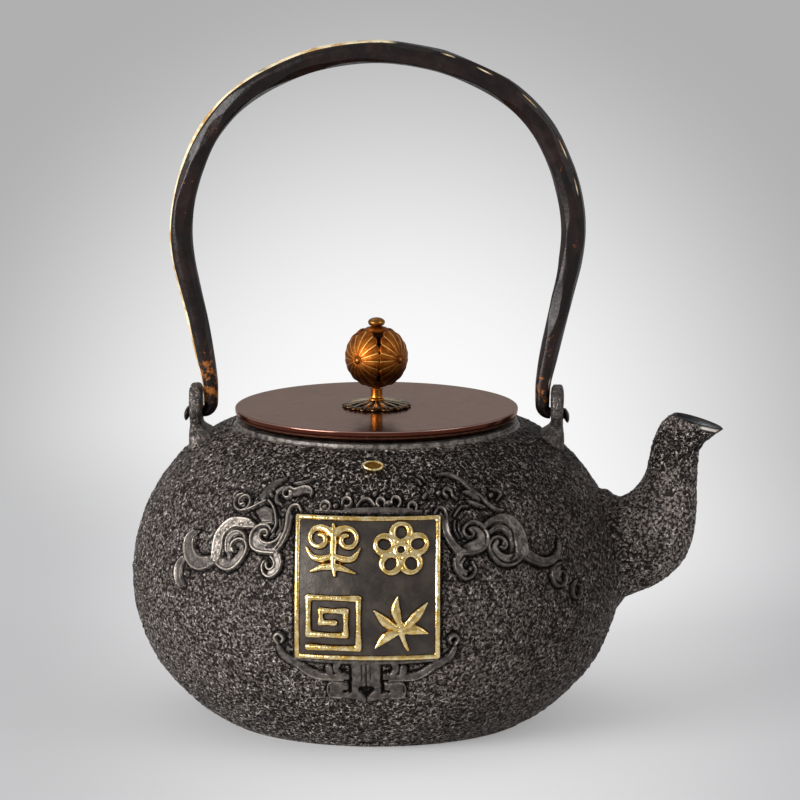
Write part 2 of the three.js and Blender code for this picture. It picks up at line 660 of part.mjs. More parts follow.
function bodyGroup() {
  const group = new THREE.Group();
  group.add(piece("kettle_body", kettleBody(), IRON));
  group.add(piece("spout", spout(), IRON));
  group.add(piece("lug_left", lug(-1), IRON));
  group.add(piece("lug_right", lug(1), IRON));
  group.add(piece("relief_left", sideRelief(-1), RELIEF_IRON));
  group.add(piece("relief_right", sideRelief(1), RELIEF_IRON));
  group.add(piece("relief_top", topRelief(), RELIEF_IRON));
  group.add(piece("relief_bottom", bottomRelief(), RELIEF_IRON));
  group.add(piece("shoulder_seal", shoulderSeal(), GILT));
  return group;
}

function plaqueGroup() {
  const group = new THREE.Group();
  group.add(piece("plaque_ground", plaqueGround(), DARK_IRON));
  group.add(piece("plaque_frame", plaqueFrame(), GILT));
  group.add(piece("motif_cloud", cloudMotif(), GILT));
  group.add(piece("motif_blossom", blossomMotif(), GILT));
  group.add(piece("motif_fret", fretMotif(), GILT));
  group.add(piece("motif_leaf", leafMotif(), GILT));
  return group;
}

function lidGroup() {
  const group = new THREE.Group();
  group.add(piece("lid_plate", lidPlate(), BRONZE));
  group.add(piece("lid_flange", lidFlange(), BRONZE));
  group.add(piece("knob_flower_washer", flowerWasher(), ANTIQUE));
  group.add(piece("knob_collar", knobCollar(), ANTIQUE));
  group.add(piece("knob_ball", knobBall(), ANTIQUE));
  group.add(piece("knob_rod", knobRod(), ANTIQUE));
  group.add(piece("knob_under_washer", underWasher(), BRONZE));
  group.add(piece("knob_nut", knobNut(), BRONZE));
  return group;
}

const kettle = new THREE.Group();
kettle.add(bodyGroup(), plaqueGroup(), lidGroup());
kettle.add(piece("bail_handle", bailHandle(), LACQUER));

export default kettle;
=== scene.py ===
import math

import bpy
import numpy as np
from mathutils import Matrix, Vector

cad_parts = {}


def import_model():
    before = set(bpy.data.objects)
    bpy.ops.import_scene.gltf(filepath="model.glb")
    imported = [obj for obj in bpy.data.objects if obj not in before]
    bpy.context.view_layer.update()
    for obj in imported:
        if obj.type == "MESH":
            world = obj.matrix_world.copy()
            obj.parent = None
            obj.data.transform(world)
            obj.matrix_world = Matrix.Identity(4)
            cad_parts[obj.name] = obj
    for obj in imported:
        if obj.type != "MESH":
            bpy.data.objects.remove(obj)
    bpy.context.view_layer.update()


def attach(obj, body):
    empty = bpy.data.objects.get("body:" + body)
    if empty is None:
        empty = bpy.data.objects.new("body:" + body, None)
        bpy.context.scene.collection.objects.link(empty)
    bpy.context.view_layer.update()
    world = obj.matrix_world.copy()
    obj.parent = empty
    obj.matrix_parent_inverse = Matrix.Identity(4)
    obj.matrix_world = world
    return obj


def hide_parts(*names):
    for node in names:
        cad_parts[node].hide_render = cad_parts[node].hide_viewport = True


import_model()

# Cast iron kettle: looks for the belly, spout, scroll reliefs, gilt plaque, bail, lid and openwork knob.
# Shapes are worked out in millimetres in the frame of the solids and become metres when a mesh is made.

MM = 0.001

# Belly: [radius, height] of the outer skin from the base edge to the mouth ring.
BELLY = [
    [53.3, 0], [61.5, 5], [68.4, 11], [76.3, 20], [81.5, 30], [85.05, 42], [85.45, 55],
    [82.9, 68], [77.9, 80], [70.8, 90], [63.5, 97], [57, 101], [50.5, 103.5],
]
WIDEST_RADIUS = 85
WIDEST_LEVEL_ALONG_SKIN = 67.6
WALL = 3.8
FLOOR = 4.2
MOUTH_RADIUS = 44
RING_RADIUS = 49.4
RING_TOP = 105
RING_FOOT = 101.9
SKIN_COLUMNS = 430
SKIN_ROWS = 214
BASE_ROWS = 11
LINING_COLUMNS = 192
LINING_ROWS = 90
RING_COLUMNS = 256

# Spout: [belly side X, Z, outer side X, Z, half width in Y] from the root to the lip.
SPOUT = [
    [70, 76, 70, 40, 13], [79.5, 80.3, 83.7, 38.7, 14.5], [84.8, 77.8, 87.9, 42.3, 14],
    [89.7, 80.1, 98, 46.6, 12.9], [92.8, 83.9, 106.8, 53.8, 11.6], [94.4, 87.4, 110.9, 63.1, 10.4],
    [95.4, 91.4, 112.2, 73.1, 9.3], [96, 94.9, 112.3, 83.2, 8.3], [97.1, 98.9, 112.6, 90.3, 7.7],
    [98.6, 102.4, 113.7, 95.7, 7.4], [100.7, 105.5, 116.5, 98.7, 7.35], [103.6, 107.4, 121.2, 102.1, 7.5],
]
SPOUT_ROOT = [66, 66.5, 66, 49.5, 7.5]
SPOUT_THROAT = [86.5, 70, 90.5, 54, 8.5]
SPOUT_WALL = 2.4
LIP_WALL = 1.3
SPOUT_COLUMNS = 150
SPOUT_ROWS = 150
BORE_ROWS = 60
FOOT_ROWS = 8
FOOT_SHARE = 0.6
FILLET = 2.4
INNER_FILLET = 1.4

# Lugs: rounded blocks stacked upwards, [height, inner X, outer X, half width in Y].
LUG = [
    [91, 56.4, 65.7, 9.6], [98, 56.4, 65.6, 9.4], [100.4, 57, 65.5, 8.6], [102, 59.2, 65.3, 6.8],
    [103.6, 60.9, 65.2, 6], [105.4, 61, 65.3, 7.2], [108.4, 61, 65.4, 8.2], [112.4, 61, 65.5, 7.8],
    [115.4, 61.1, 65.4, 6.2], [116.8, 61.7, 64.9, 4.2],
]
LUG_SQUARENESS = 0.46
LUG_ROWS = 60
LUG_COLUMNS = 72
LUG_VOXEL = 0.32
LUG_GRAIN = 0.32
HOLE_COLUMNS = 48
LUG_HOLE_RADIUS = 2.4
HINGE_HEIGHT = 107.4

# Bail: [X, Z, thickness in its plane, width in Y] on the +X side from leg to apex.
BAIL = [
    [58.05, 113.6, 5.1, 7.2], [58.4, 118.8, 5.5, 7.6], [60, 127.3, 6.5, 8], [62.3, 138.6, 7.3, 8.3],
    [64.9, 149.9, 7.6, 8.4], [67.3, 161.2, 8, 8.4], [68.2, 172.4, 8.2, 8.4], [66.9, 183.5, 8.3, 8.4],
    [63.4, 194.7, 8.3, 8.4], [57.3, 205.8, 8.2, 8.4], [47.3, 216.8, 8.2, 8.4], [35, 225.3, 8.1, 8.4],
    [19.5, 231.7, 8.1, 8.4], [0, 234.35, 8.1, 8.4],
]
ELBOW_RADIUS = 2.9
TRUNNION_RADIUS = 1.9
TRUNNION_TIP = 67.3
HEAD_START = 65.9
HEAD_RADIUS = 2.7
TIP_DROP = 1.5
BAIL_ROWS = 760
BAIL_COLUMNS = 96
BAIL_SQUARENESS = 2.5
HAMMER_MARKS = 150

# Lid and knob.
LID_RADIUS = 49.5
LID_UNDERSIDE_RADIUS = 47
LID_TOP = 109.5
LID_UNDERSIDE = 105.3
FLANGE_INNER = 41.5
FLANGE_OUTER = 43.5
FLANGE_BOTTOM = 99.5
FLANGE_COLUMNS = 192
ROD_RADIUS = 1.15
ROD_BOTTOM = 98.6
ROD_AT_WASHER = 112
FLOWER_RADIUS = 12.2
FLOWER_PETALS = 16
PETAL_COLUMNS = 24
PETAL_ROWS = 34
FLOWER_BOTTOM = 109.6
FLOWER_TOP = 111.9
COLLAR_RADIUS = 2.05
COLLAR_BOTTOM = 111.95
COLLAR_COLUMNS = 64
BALL_RADIUS = 11.2
BALL_CENTRE = 127.1
BALL_FLOWERS = 4
BALL_PETALS = 16
BALL_FLOWER_TURN = math.radians(-37)
BALL_ROWS = 170
BALL_COLUMNS = 288
BALL_POLE = 0.12
BALL_HOLLOW = BALL_RADIUS - 3.2
BUD_RADIUS = 3
BUD_TOP = 141
BUD_COLUMNS = 72
UNDER_WASHER_RADIUS = 6
UNDER_WASHER_BOTTOM = 103.7
WASHER_COLUMNS = 96
NUT_ACROSS = 5.5
NUT_BOTTOM = 100.6
NUT_COLUMNS = 120
PIN_HOLE = 1.3
LID_COLUMNS = 320

# Plaque: sideways distances and arc lengths up the skin from the widest level.
PLAQUE_HALF_WIDTH = 24.6
PLAQUE_BOTTOM = -17.4
PLAQUE_TOP = 32.2
PLAQUE_BAR = 2.1
SEAL_PLACE = [1.6, 52.7]
SEAL_HALF = [5.2, 2.4]
PANEL_LIFT = 0.85
PANEL_STEPS = 96
RIM_HEIGHT = 1.65
RIM_STEPS = 90
RIM_VOXEL = 0.3
ORNAMENT_HEIGHT = 2.2
ORNAMENT_FOOT = 0.5
ORNAMENT_VOXEL = 0.2
SEAL_COLUMNS = 96


# Curves

def smooth_line(points, per_span=12):
    """Points of a smooth curve through the given points, each a list of one or more numbers."""
    p = np.array(points, float)
    p = np.vstack([p[:1], p, p[-1:]])
    t = np.linspace(0, 1, per_span, endpoint=False)[:, None]
    spans = []
    for a, b, c, d in zip(p, p[1:], p[2:], p[3:]):
        leave, arrive = (c - a) / 2, (d - b) / 2
        cubic = (2 * (b - c) + leave + arrive) * t**3
        square = (3 * (c - b) - 2 * leave - arrive) * t**2
        spans.append(cubic + square + leave * t + b)
    return np.vstack(spans + [p[-1:]])


def lengths_along(line):
    """Length walked along a line up to each of its points."""
    steps = np.linalg.norm(np.diff(line, axis=0), axis=1)
    return np.concatenate([[0], np.cumsum(steps)])


def spaced(line, count):
    """The same line with its points an equal way apart."""
    walked = lengths_along(line)
    at = np.linspace(0, walked[-1], count)
    return np.stack([np.interp(at, walked, column) for column in line.T], axis=1)


def ease(value, low, high):
    """0 below `low`, 1 above `high` and smooth between."""
    t = np.clip((value - low) / (high - low), 0, 1)
    return t * t * (3 - 2 * t)


def spiral(centre, radii, angles, count):
    """Line that winds about a centre; angles in degrees."""
    r = np.linspace(*radii, count)
    a = np.radians(np.linspace(*angles, count))
    return np.stack([centre[0] + r * np.cos(a), centre[1] + r * np.sin(a)], 1)


def mirrored(line, side):
    """The line itself for side 1, and its mirror image for side -1."""
    return np.array(line) * [side, 1]


def full_turn(count):
    """Angles evenly spaced once round."""
    return 2 * np.pi * np.arange(count) / count


def polar(radius, turn, z):
    """Points at an angle round Z."""
    return np.stack([radius * np.cos(turn), radius * np.sin(turn), z + 0 * turn], -1)


def unit(ways):
    """Each way with a length of 1."""
    return ways / np.linalg.norm(ways, axis=1)[:, None]


def pairs(rows, columns):
    """Every pair of a number from `rows` and one from `columns`, row by row, as two lists."""
    return (grid.ravel() for grid in np.meshgrid(rows, columns, indexing="ij"))


# Noise

def hashed(x, y, z, seed):
    """A number from 0 to 1 for each whole-numbered place."""
    h = (x * 73856093) ^ (y * 19349663) ^ (z * 83492791) ^ (seed * 26544357)
    h = ((h ^ (h >> 13)) * 1274126177) & 0xFFFFFFFF
    h ^= h >> 16
    return (h & 0xFFFFF) / 0x100000


def clouds(points, size, seed):
    """Soft noise from -1 to 1 with blotches of about `size` millimetres."""
    scaled = points / size
    cell = np.floor(scaled).astype(np.int64)
    part = scaled - cell
    part = part * part * (3 - 2 * part)
    total = np.zeros(len(points))
    for corner in range(8):
        offset = np.array([corner & 1, corner >> 1 & 1, corner >> 2 & 1])
        weight = np.prod(np.where(offset, part, 1 - part), axis=1)
        total += weight * hashed(*(cell + offset).T, seed)
    return 2 * total - 1


def pebbles(points, size, seed, spread=0.42):
    """Sum of round bumps scattered one to a cell of `size` millimetres."""
    scaled = points / size
    cell = np.floor(scaled).astype(np.int64)
    total = np.zeros(len(points))
    for step in range(27):
        near = cell + np.array([step % 3 - 1, step // 3 % 3 - 1, step // 9 - 1])
        jitter = np.stack([hashed(*near.T, seed + k) for k in range(3)], axis=1)
        away = np.sum((near + jitter - scaled) ** 2, axis=1)
        total += (0.4 + 0.6 * hashed(*near.T, seed + 3)) * np.exp(-away / spread**2)
    return total


def grain(points):
    """Height of the pebbled cast surface at each point."""
    lumps = clouds(points, 16, 1) * 0.06 + clouds(points, 5, 2) * 0.06
    veins = np.clip(1 - 3.6 * np.abs(clouds(points, 2.3, 11)), 0, 1)
    beads = 0.2 * (pebbles(points, 2.7, 3) - 0.45) + 0.28 * (pebbles(points, 1.6, 7) - 0.45)
    return lumps + beads + 0.3 * (veins - 0.3)


# Meshes

def linked(name, data):
    """A new object in the scene."""
    made = bpy.data.objects.new(name, data)
    bpy.context.scene.collection.objects.link(made)
    return made


def built(name, points, faces):
    """A new mesh object in the scene."""
    mesh = bpy.data.meshes.new(name)
    mesh.from_pydata(points.tolist(), [], faces)
    return linked(name, mesh)


def make_piece(name, points, faces, finish, body, replaces=(), values=None):
    """Makes a mesh of points in millimetres that rides on a body. `values` are named numbers per point."""
    piece = built(name, points * MM, np.asarray(faces).tolist())
    mesh = piece.data
    for key, numbers in (values or {}).items():
        layer = mesh.attributes.new(key, "FLOAT", "POINT")
        layer.data.foreach_set("value", np.asarray(numbers, np.float32))
    mesh.polygons.foreach_set("use_smooth", [True] * len(mesh.polygons))
    mesh.materials.append(finish)
    mesh.update()
    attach(piece, body)
    if replaces:
        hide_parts(*replaces)


def grid_faces(rows, columns, wrap=True):
    """Four-sided faces of a grid whose points run row by row, closed round each row when `wrap` is set."""
    i, j = np.meshgrid(np.arange(rows - 1), np.arange(columns if wrap else columns - 1), indexing="ij")
    k = (j + 1) % columns
    quads = np.stack([i * columns + j, i * columns + k, (i + 1) * columns + k, (i + 1) * columns + j], -1)
    return quads.reshape(-1, 4)


def only_used(points, faces, values=None):
    """Drops the points that no face uses."""
    used = np.unique(faces)
    place = np.zeros(len(points), int)
    place[used] = np.arange(len(used))
    kept = {key: numbers[used] for key, numbers in (values or {}).items()}
    return points[used], place[faces], kept


def tube_faces(rows, columns):
    """Faces of a tube that is closed at both ends."""
    first = np.arange(columns)
    last = first + (rows - 1) * columns
    return grid_faces(rows, columns).tolist() + [first[::-1].tolist(), last.tolist()]


def turned(profile, columns):
    """Points and faces of [radius, height] rows turned about Z, from the outside's bottom upwards."""
    turn = full_turn(columns)
    return np.concatenate([polar(r, turn, z) for r, z in profile]), grid_faces(len(profile), columns)


def rounded(corners, radius, steps=4):
    """A profile through [radius, height] corners, each inner one rounded off; closed back to the start."""
    corners = np.asarray(corners, float)
    out = []
    for before, corner, after in zip(np.roll(corners, 1, 0), corners, np.roll(corners, -1, 0)):
        way_in, way_out = before - corner, after - corner
        reach = min(radius, np.linalg.norm(way_in) / 2.2, np.linalg.norm(way_out) / 2.2)
        start = corner + way_in / np.linalg.norm(way_in) * reach
        end = corner + way_out / np.linalg.norm(way_out) * reach
        for t in np.linspace(0, 1, steps):
            out.append((1 - t) ** 2 * start + 2 * t * (1 - t) * corner + t * t * end)
    return np.array(out + out[:1])


# Belly

PROFILE = smooth_line(BELLY, 40)
PROFILE_LENGTH = lengths_along(PROFILE)
PROFILE_WAY = np.gradient(PROFILE, PROFILE_LENGTH, axis=0)
SKIN_LENGTH = PROFILE_LENGTH[-1]


def skin_point(along, lift):
    """[radius, height] on the skin at a length along it, moved out along the skin's normal."""
    r, z, dr, dz = (
        np.interp(along, PROFILE_LENGTH, column) for column in (*PROFILE.T, *PROFILE_WAY.T)
    )
    return r + dz * lift, z - dr * lift


def on_belly(u, v, lift):
    """Point at `u` round from the front at the widest radius and `v` up the skin from the widest level."""
    r, z = skin_point(WIDEST_LEVEL_ALONG_SKIN + v, lift)
    return polar(r, -np.pi / 2 + u / WIDEST_RADIUS, z)


def front_turn(x, v):
    """The way round `u` at which a true sideways distance `x` is reached."""
    r, _ = skin_point(WIDEST_LEVEL_ALONG_SKIN + v, 0)
    return WIDEST_RADIUS * np.arcsin(x / r)


def on_front(x, v, lift):
    """Like `on_belly`, for a true sideways distance."""
    return on_belly(front_turn(x, v), v, lift)


def off_skin(points, lift=0.0):
    """Distance of points outside the skin, moved out by `lift`, and the skin's normal next to them."""
    r = np.hypot(points[:, 0], points[:, 1])
    gaps = (r[:, None] - PROFILE[None, :, 0]) ** 2 + (points[:, 2, None] - PROFILE[None, :, 1]) ** 2
    k = gaps.argmin(axis=1)
    out_r, out_z = PROFILE_WAY[k, 1], -PROFILE_WAY[k, 0]
    away = (r - PROFILE[k, 0]) * out_r + (points[:, 2] - PROFILE[k, 1]) * out_z - lift
    return away, np.stack([out_r * points[:, 0] / r, out_r * points[:, 1] / r, out_z], -1)


# Reliefs: strokes of smooth iron standing out from the pebbled skin

FAR = 99.0
EDGE_REACH = 7.0
RELIEF_HEIGHT = 1.45
PATCH_STEP = 0.26
PATCH_HALF = 89.0
PATCH_BOTTOM = -41.0
PATCH_TOP = 53.0
PATCH_REACH = 4.5
SINK = 0.7
SPILL = 0.1


def ridge(depth, along, across, width):
    """Half-round bar."""
    return np.sqrt(np.clip(1 - (1 - np.clip(depth / width, 0, 1)) ** 2, 0, 1))


def slab(depth, along, across, width):
    """Flat top with soft edges."""
    return ease(depth, -0.05, 0.45)


def channel(depth, along, across, width):
    """Ribbon with raised rims and a hollowed middle."""
    return ease(depth, -0.05, 0.4) * (1 - 0.55 * ease(depth, 0.45, 1.3))


def dotted(depth, along, across, width):
    """Flat band stamped with a row of small oval rings."""
    pitch = 3.5
    beside = np.where(np.floor(along / pitch) % 2 > 0, 0.75, -0.55)
    ring = np.hypot((along % pitch - pitch / 2) / 0.95, (across - beside) / 0.8)
    stamp = 0.24 * np.exp(-(((ring - 0.85) / 0.28) ** 2))
    return ease(depth, -0.05, 0.45) * (0.86 + 0.14 * (1 - ease(depth, 0.5, 1)) - stamp)


def widened(line, half):
    """A stroke's smooth line, and half its width at each point from values at even steps along it."""
    line = smooth_line(line) if len(line) > 2 else np.array(line, float)
    walked = lengths_along(line)
    return line, np.interp(walked / walked[-1], np.linspace(0, 1, len(half)), half)


class Relief:
    """Height of the reliefs at many places of the skin, and how deep inside an edge each place lies."""

    def __init__(self, u, v):
        self.u, self.v = u, v
        self.height = np.zeros_like(u)
        self.near = np.full_like(u, -FAR)

    def reach(self, line, half):
        """The places close to a stroke, and for each its depth inside the edge, way along and way across."""
        margin = max(half) + EDGE_REACH
        low, high = line.min(axis=0) - margin, line.max(axis=0) + margin
        inside = (self.u > low[0]) & (self.u < high[0]) & (self.v > low[1]) & (self.v < high[1])
        picked = np.flatnonzero(inside)
        p = np.stack([self.u[picked], self.v[picked]], 1)
        depth = np.full(len(p), -FAR)
        along, across = np.zeros(len(p)), np.zeros(len(p))
        walked = lengths_along(line)
        for n, (a, b) in enumerate(zip(line, line[1:])):
            step = b - a
            length = np.hypot(*step)
            t = np.clip((p - a) @ step / length**2, 0, 1)
            gap = p - a - t[:, None] * step
            here = half[n] + (half[n + 1] - half[n]) * t - np.hypot(*gap.T)
            closer = here > depth
            depth[closer] = here[closer]
            along[closer] = walked[n] + length * t[closer]
            across[closer] = (step[0] * gap[closer, 1] - step[1] * gap[closer, 0]) / length
        return picked, depth, along, across

    def rise(self, picked, shape, height, depth):
        """Raises the picked places that lie lower than the shape."""
        raised = shape * height * RELIEF_HEIGHT * (depth > -SPILL)
        self.height[picked] = np.maximum(self.height[picked], raised)
        self.near[picked] = np.maximum(self.near[picked], depth)

    def stroke(self, line, half, kind, height):
        """Raises a stroke."""
        line, half = widened(line, half)
        picked, depth, along, across = self.reach(line, half)
        self.rise(picked, kind(depth, along, across, max(half)), height, depth)

    def plate(self, corners, kind, height):
        """Raises a flat shape with straight sides, none of its corners pointing inwards."""
        a = np.array(corners, float)
        b = np.roll(a, -1, axis=0)
        turn = np.sign(np.sum(a[:, 0] * b[:, 1] - b[:, 0] * a[:, 1]))
        depth = np.full_like(self.u, FAR)
        for start, end in zip(a, b):
            way = (end - start) / np.hypot(*(end - start)) * turn
            depth = np.minimum(depth, way[0] * (self.v - start[1]) - way[1] * (self.u - start[0]))
        self.rise(slice(None), kind(depth, depth, depth, 2.0), height, depth)

    def cut(self, line, half, left=0.0):
        """Sinks a stroke into what has been raised so far."""
        line, half = widened(line, half)
        picked, depth, _, _ = self.reach(line, half)
        self.height[picked] *= 1 - ease(depth, -0.15, 0.3) * (1 - left)

    def plaque_at(self, half_width, bottom, top):
        """Keeps how deep inside the plaque each place lies, and counts its inside as near."""
        r, _ = skin_point(WIDEST_LEVEL_ALONG_SKIN + self.v, 0)
        x = r * np.sin(self.u / WIDEST_RADIUS)
        self.plaque = np.minimum.reduce([half_width - np.abs(x), self.v - bottom, top - self.v])
        self.plaque[np.abs(self.u) > WIDEST_RADIUS] = -FAR
        self.near = np.maximum(self.near, self.plaque)


# Strokes: kind, height, half widths along the way, and places as round, up, round, up and so on.
# A shape with straight sides has no half widths. A cut sinks into what is drawn before it, down to
# the share given as height. The scrolls beside the plaque are given as they lie on the spout's side.
# The two sides are alike but not the same.
CUT = "cut"
FAR_SIDE = [
    (slab, 0.42, None, [42.4, 34.4, 38.2, 33, 36.7, 28.6, 41.8, 27.9, 46.2, 31.8]),
    (slab, 0.5, [0.8, 1, 1], [32.6, 20.6, 31, 24.6, 30.9, 29, 31.4, 32.4]),
    (ridge, 1, [0.6, 0.65, 0.6, 0.55],
     [26.5, 33.4, 28.2, 35.3, 30.6, 34.8, 31.6, 32.4, 31.2, 28.6, 31.2, 25.2, 32.3, 22, 33.6, 19.6]),
    (ridge, 0.8, [0.35, 0.4, 0.4], [29.9, 31.4, 29.6, 27.6, 30, 24.4, 31.2, 21.4, 32.6, 19.2]),
    (slab, 0.62, [1.5, 1.3, 1, 0.9], [34, 18.6, 32.3, 16.4, 31.9, 14, 33, 11.8, 34.8, 11]),
    (ridge, 1, [0.5, 0.5, 0.5],
     [34.9, 16.6, 33.6, 15.4, 33.1, 13.8, 33.8, 12.6, 35, 12.2, 36, 13, 36.2, 14.2]),
    (ridge, 1, [0.5, 0.6, 0.6, 0.5],
     [31.6, 17.6, 30.7, 14.6, 31.9, 11.4, 34.4, 9.8, 36.8, 10.7, 37.7, 13, 37, 14.9]),
    (slab, 0.55, [1.4, 2, 2, 1.7, 1.2, 0.8], [34.2, 19, 38.6, 20, 41.6, 21, 42, 23.6, 40, 25.4, 38, 24.9]),
    (ridge, 1, [0.6, 0.65, 0.6, 0.5],
     [34, 17.9, 37.6, 17.8, 40.4, 18, 42.7, 18.9, 44, 20.6, 44.4, 22.6, 43.9, 24.6, 42.5, 26.3, 40.4, 27.1,
      38.2, 26.9, 36.8, 25.6]),
    (ridge, 1, [0.5, 0.5, 0.45],
     [32.3, 24.6, 33.6, 22.4, 36.2, 21, 39, 21.2, 40.8, 22.8, 40.6, 24.9, 39, 25.5, 37.8, 24.6, 38.1, 23.4,
      39, 23.5]),
    (ridge, 0.7, [0.4, 0.3], [34.4, 29.6, 33.4, 26.8, 34.2, 24.2]),
    (ridge, 0.6, [0.3, 0.35], [33, 30, 32.6, 27.2, 33, 25.4]),
    (ridge, 0.7, [0.4, 0.4], [35.2, 24.4, 36.2, 23]),
    (ridge, 0.95, [0.35, 0.5, 0.5, 0.5],
     [36.2, 24.6, 35.3, 27.4, 36.1, 30.2, 37.6, 32.8, 39.6, 34.8, 41.4, 36]),
    (ridge, 0.8, [0.4, 0.4], [36.9, 28.2, 39.4, 27.8, 42, 27.4]),
    (ridge, 0.9, [0.4, 0.45, 0.4], [50.4, 31.4, 47.4, 33, 45, 34.6, 42.6, 35.9]),
    (slab, 0.42, [1.7, 1.6, 1.1, 0.5], [45, 37.4, 43.6, 40, 41.2, 43, 37.8, 45.6]),
    (ridge, 0.8, [0.4, 0.5, 0.4], [36.8, 41, 38.4, 39.6, 38.8, 37.6, 38, 35.6]),
    (dotted, 1, [1.2, 2, 2.2, 2.4, 2.5, 2.6, 2.7, 2.2],
     [44.6, 26.4, 46.6, 26.9, 49, 27, 51.8, 26.7, 54.6, 25.8, 56.9, 23.4, 58, 20.4, 57.8, 17.2, 57.6, 14.2]),
    (slab, 0.55, [0.8, 1.1, 1.2, 1.2, 1.2],
     [46.6, 22.4, 49.6, 23.4, 52.2, 22.8, 53.7, 20.6, 53.4, 17.6, 52, 14.6]),
    (ridge, 0.95, [0.4, 0.45, 0.4],
     [46.3, 21.2, 47.6, 22.9, 49.6, 23.7, 51.6, 23.7, 53.4, 22.6, 54.3, 20.8, 54.2, 18.6, 53.6, 16.4]),
    (slab, 0.5, [1.6, 1.6, 1.7, 1.4, 1], [54.6, 12.7, 51, 12.2, 48.4, 14.4, 47, 17.2, 48, 19.2, 49.8, 19]),
    (ridge, 1, [0.6, 0.65, 0.65, 0.6, 0.5],
     [56.8, 11.8, 54.4, 10.7, 51.5, 10.4, 48.8, 11.6, 46.4, 14.4, 45.1, 17.4, 45.4, 19.6, 46.9, 21, 49, 21.3,
      51, 20.4, 51.9, 18.6, 51.4, 17, 50.2, 16.8]),
    (ridge, 1, [0.9, 0.7], [51, 17.6, 51.2, 17]),
    (slab, 0.6, [2, 2.1, 2.3, 2.5, 2.5, 2.2, 1.7, 1, 0.3],
     [57.6, 13.2, 61, 12, 64.6, 11.2, 67.8, 11.9, 70.2, 13.6, 72, 15.8, 72.8, 18.2, 72, 20, 69.4, 21.6]),
    (ridge, 1, [0.4, 0.5, 0.5, 0.4],
     [60.8, 9.9, 64.8, 8.7, 69.4, 9.6, 72.8, 12.4, 74.6, 16, 74.4, 19, 72, 21.2]),
    (ridge, 0.95, [0.3, 0.4, 0.4, 0.3], [62, 13.2, 65.8, 12.7, 68.8, 14.4, 70.4, 17, 70.4, 19.4]),
    (slab, 0.5, [0.8, 1.5, 1.6, 1.3, 0.6], [73, 12.6, 75, 9.4, 75.4, 6.4, 74.4, 3.6, 71.4, 2]),
    (ridge, 0.95, [0.3, 0.4, 0.4, 0.3], [74.4, 11.6, 76.4, 9, 76.9, 6.2, 75.6, 3, 72.8, 1.3]),
    (ridge, 0.9, [0.9, 0.8], [70.8, 6.2, 70.5, 6.8]),
    (ridge, 0.6, [1.1, 1.1], [80.2, 9.4, 80.6, 9.8]),
    (ridge, 0.9, [0.4, 0.55, 0.55, 0.5],
     [54.8, 37.4, 57.1, 36.2, 57.2, 34.2, 56, 32.3, 54, 31.3, 51.6, 31.2, 49.8, 32.6, 49.6, 34.6, 51, 36.4,
      53.2, 36.8, 54.9, 35.6, 54.8, 34, 53.6, 33.2, 52.2, 33.8]),
    (ridge, 0.8, [0.5, 0.5], [53.4, 34.9, 53.3, 34.5]),
    (slab, 0.5, [0.9, 1.2, 0.9], [24.7, 41, 27.6, 41.2, 31, 39.9, 33.4, 39.6]),
    (ridge, 0.95, [0.4, 0.5, 0.5, 0.45, 0.4],
     [24, 39.2, 23.9, 41.2, 25.8, 42.5, 28.6, 42.3, 31.6, 41.2, 34.2, 41.8, 36.2, 40.4, 35.8, 38.6, 34, 37.9,
      32.4, 38.8, 32.6, 40.2, 33.8, 40.3]),
    (ridge, 0.75, [0.4, 0.7, 0.5], [35.9, 42, 37.6, 41.4, 39.4, 39.6]),
    (ridge, 0.75, [0.3, 0.6, 0.3], [33.2, 43.7, 29.2, 44.4, 25, 46]),
    (ridge, 0.6, [0.35, 0.6, 0.5, 0.3], [45.6, 38.4, 44.6, 41, 42.2, 43.9, 37.6, 45.8]),
    (ridge, 0.8, [0.8, 0.8], [41.3, 38.3, 41.6, 38.5]),
    (ridge, 0.6, [0.6, 0.7, 0.5], [38.4, 37.6, 37.4, 36, 35.4, 35.2]),
    (CUT, 0.1, [0.4, 0.4], [46.8, 32.2, 44.8, 33.6, 42.5, 34.9]),
    (CUT, 0.15, [0.4, 0.4],
     [46, 21.9, 47.1, 23.9, 49.4, 24.8, 51.9, 24.8, 54.3, 23.4, 55.5, 21.2, 55.3, 18.5, 54.6, 16.2, 53, 14.9]),
    (CUT, 0, [0.55, 0.55], [50.2, 18.7, 50.5, 18.3]),
    (CUT, 0.1, [0.35, 0.35], [34.3, 20.3, 35.6, 19.9, 37, 19.7]),
    (CUT, 0, [0.7, 0.7], [70, 7.3, 70.3, 7.1]),
    (CUT, 0.1, [0.35, 0.35], [32.6, 37.7, 29.6, 39, 26.8, 40]),
    (CUT, 0.2, [0.35, 0.35], [35.4, 14.6, 34.7, 13.8, 35, 13.4]),
]
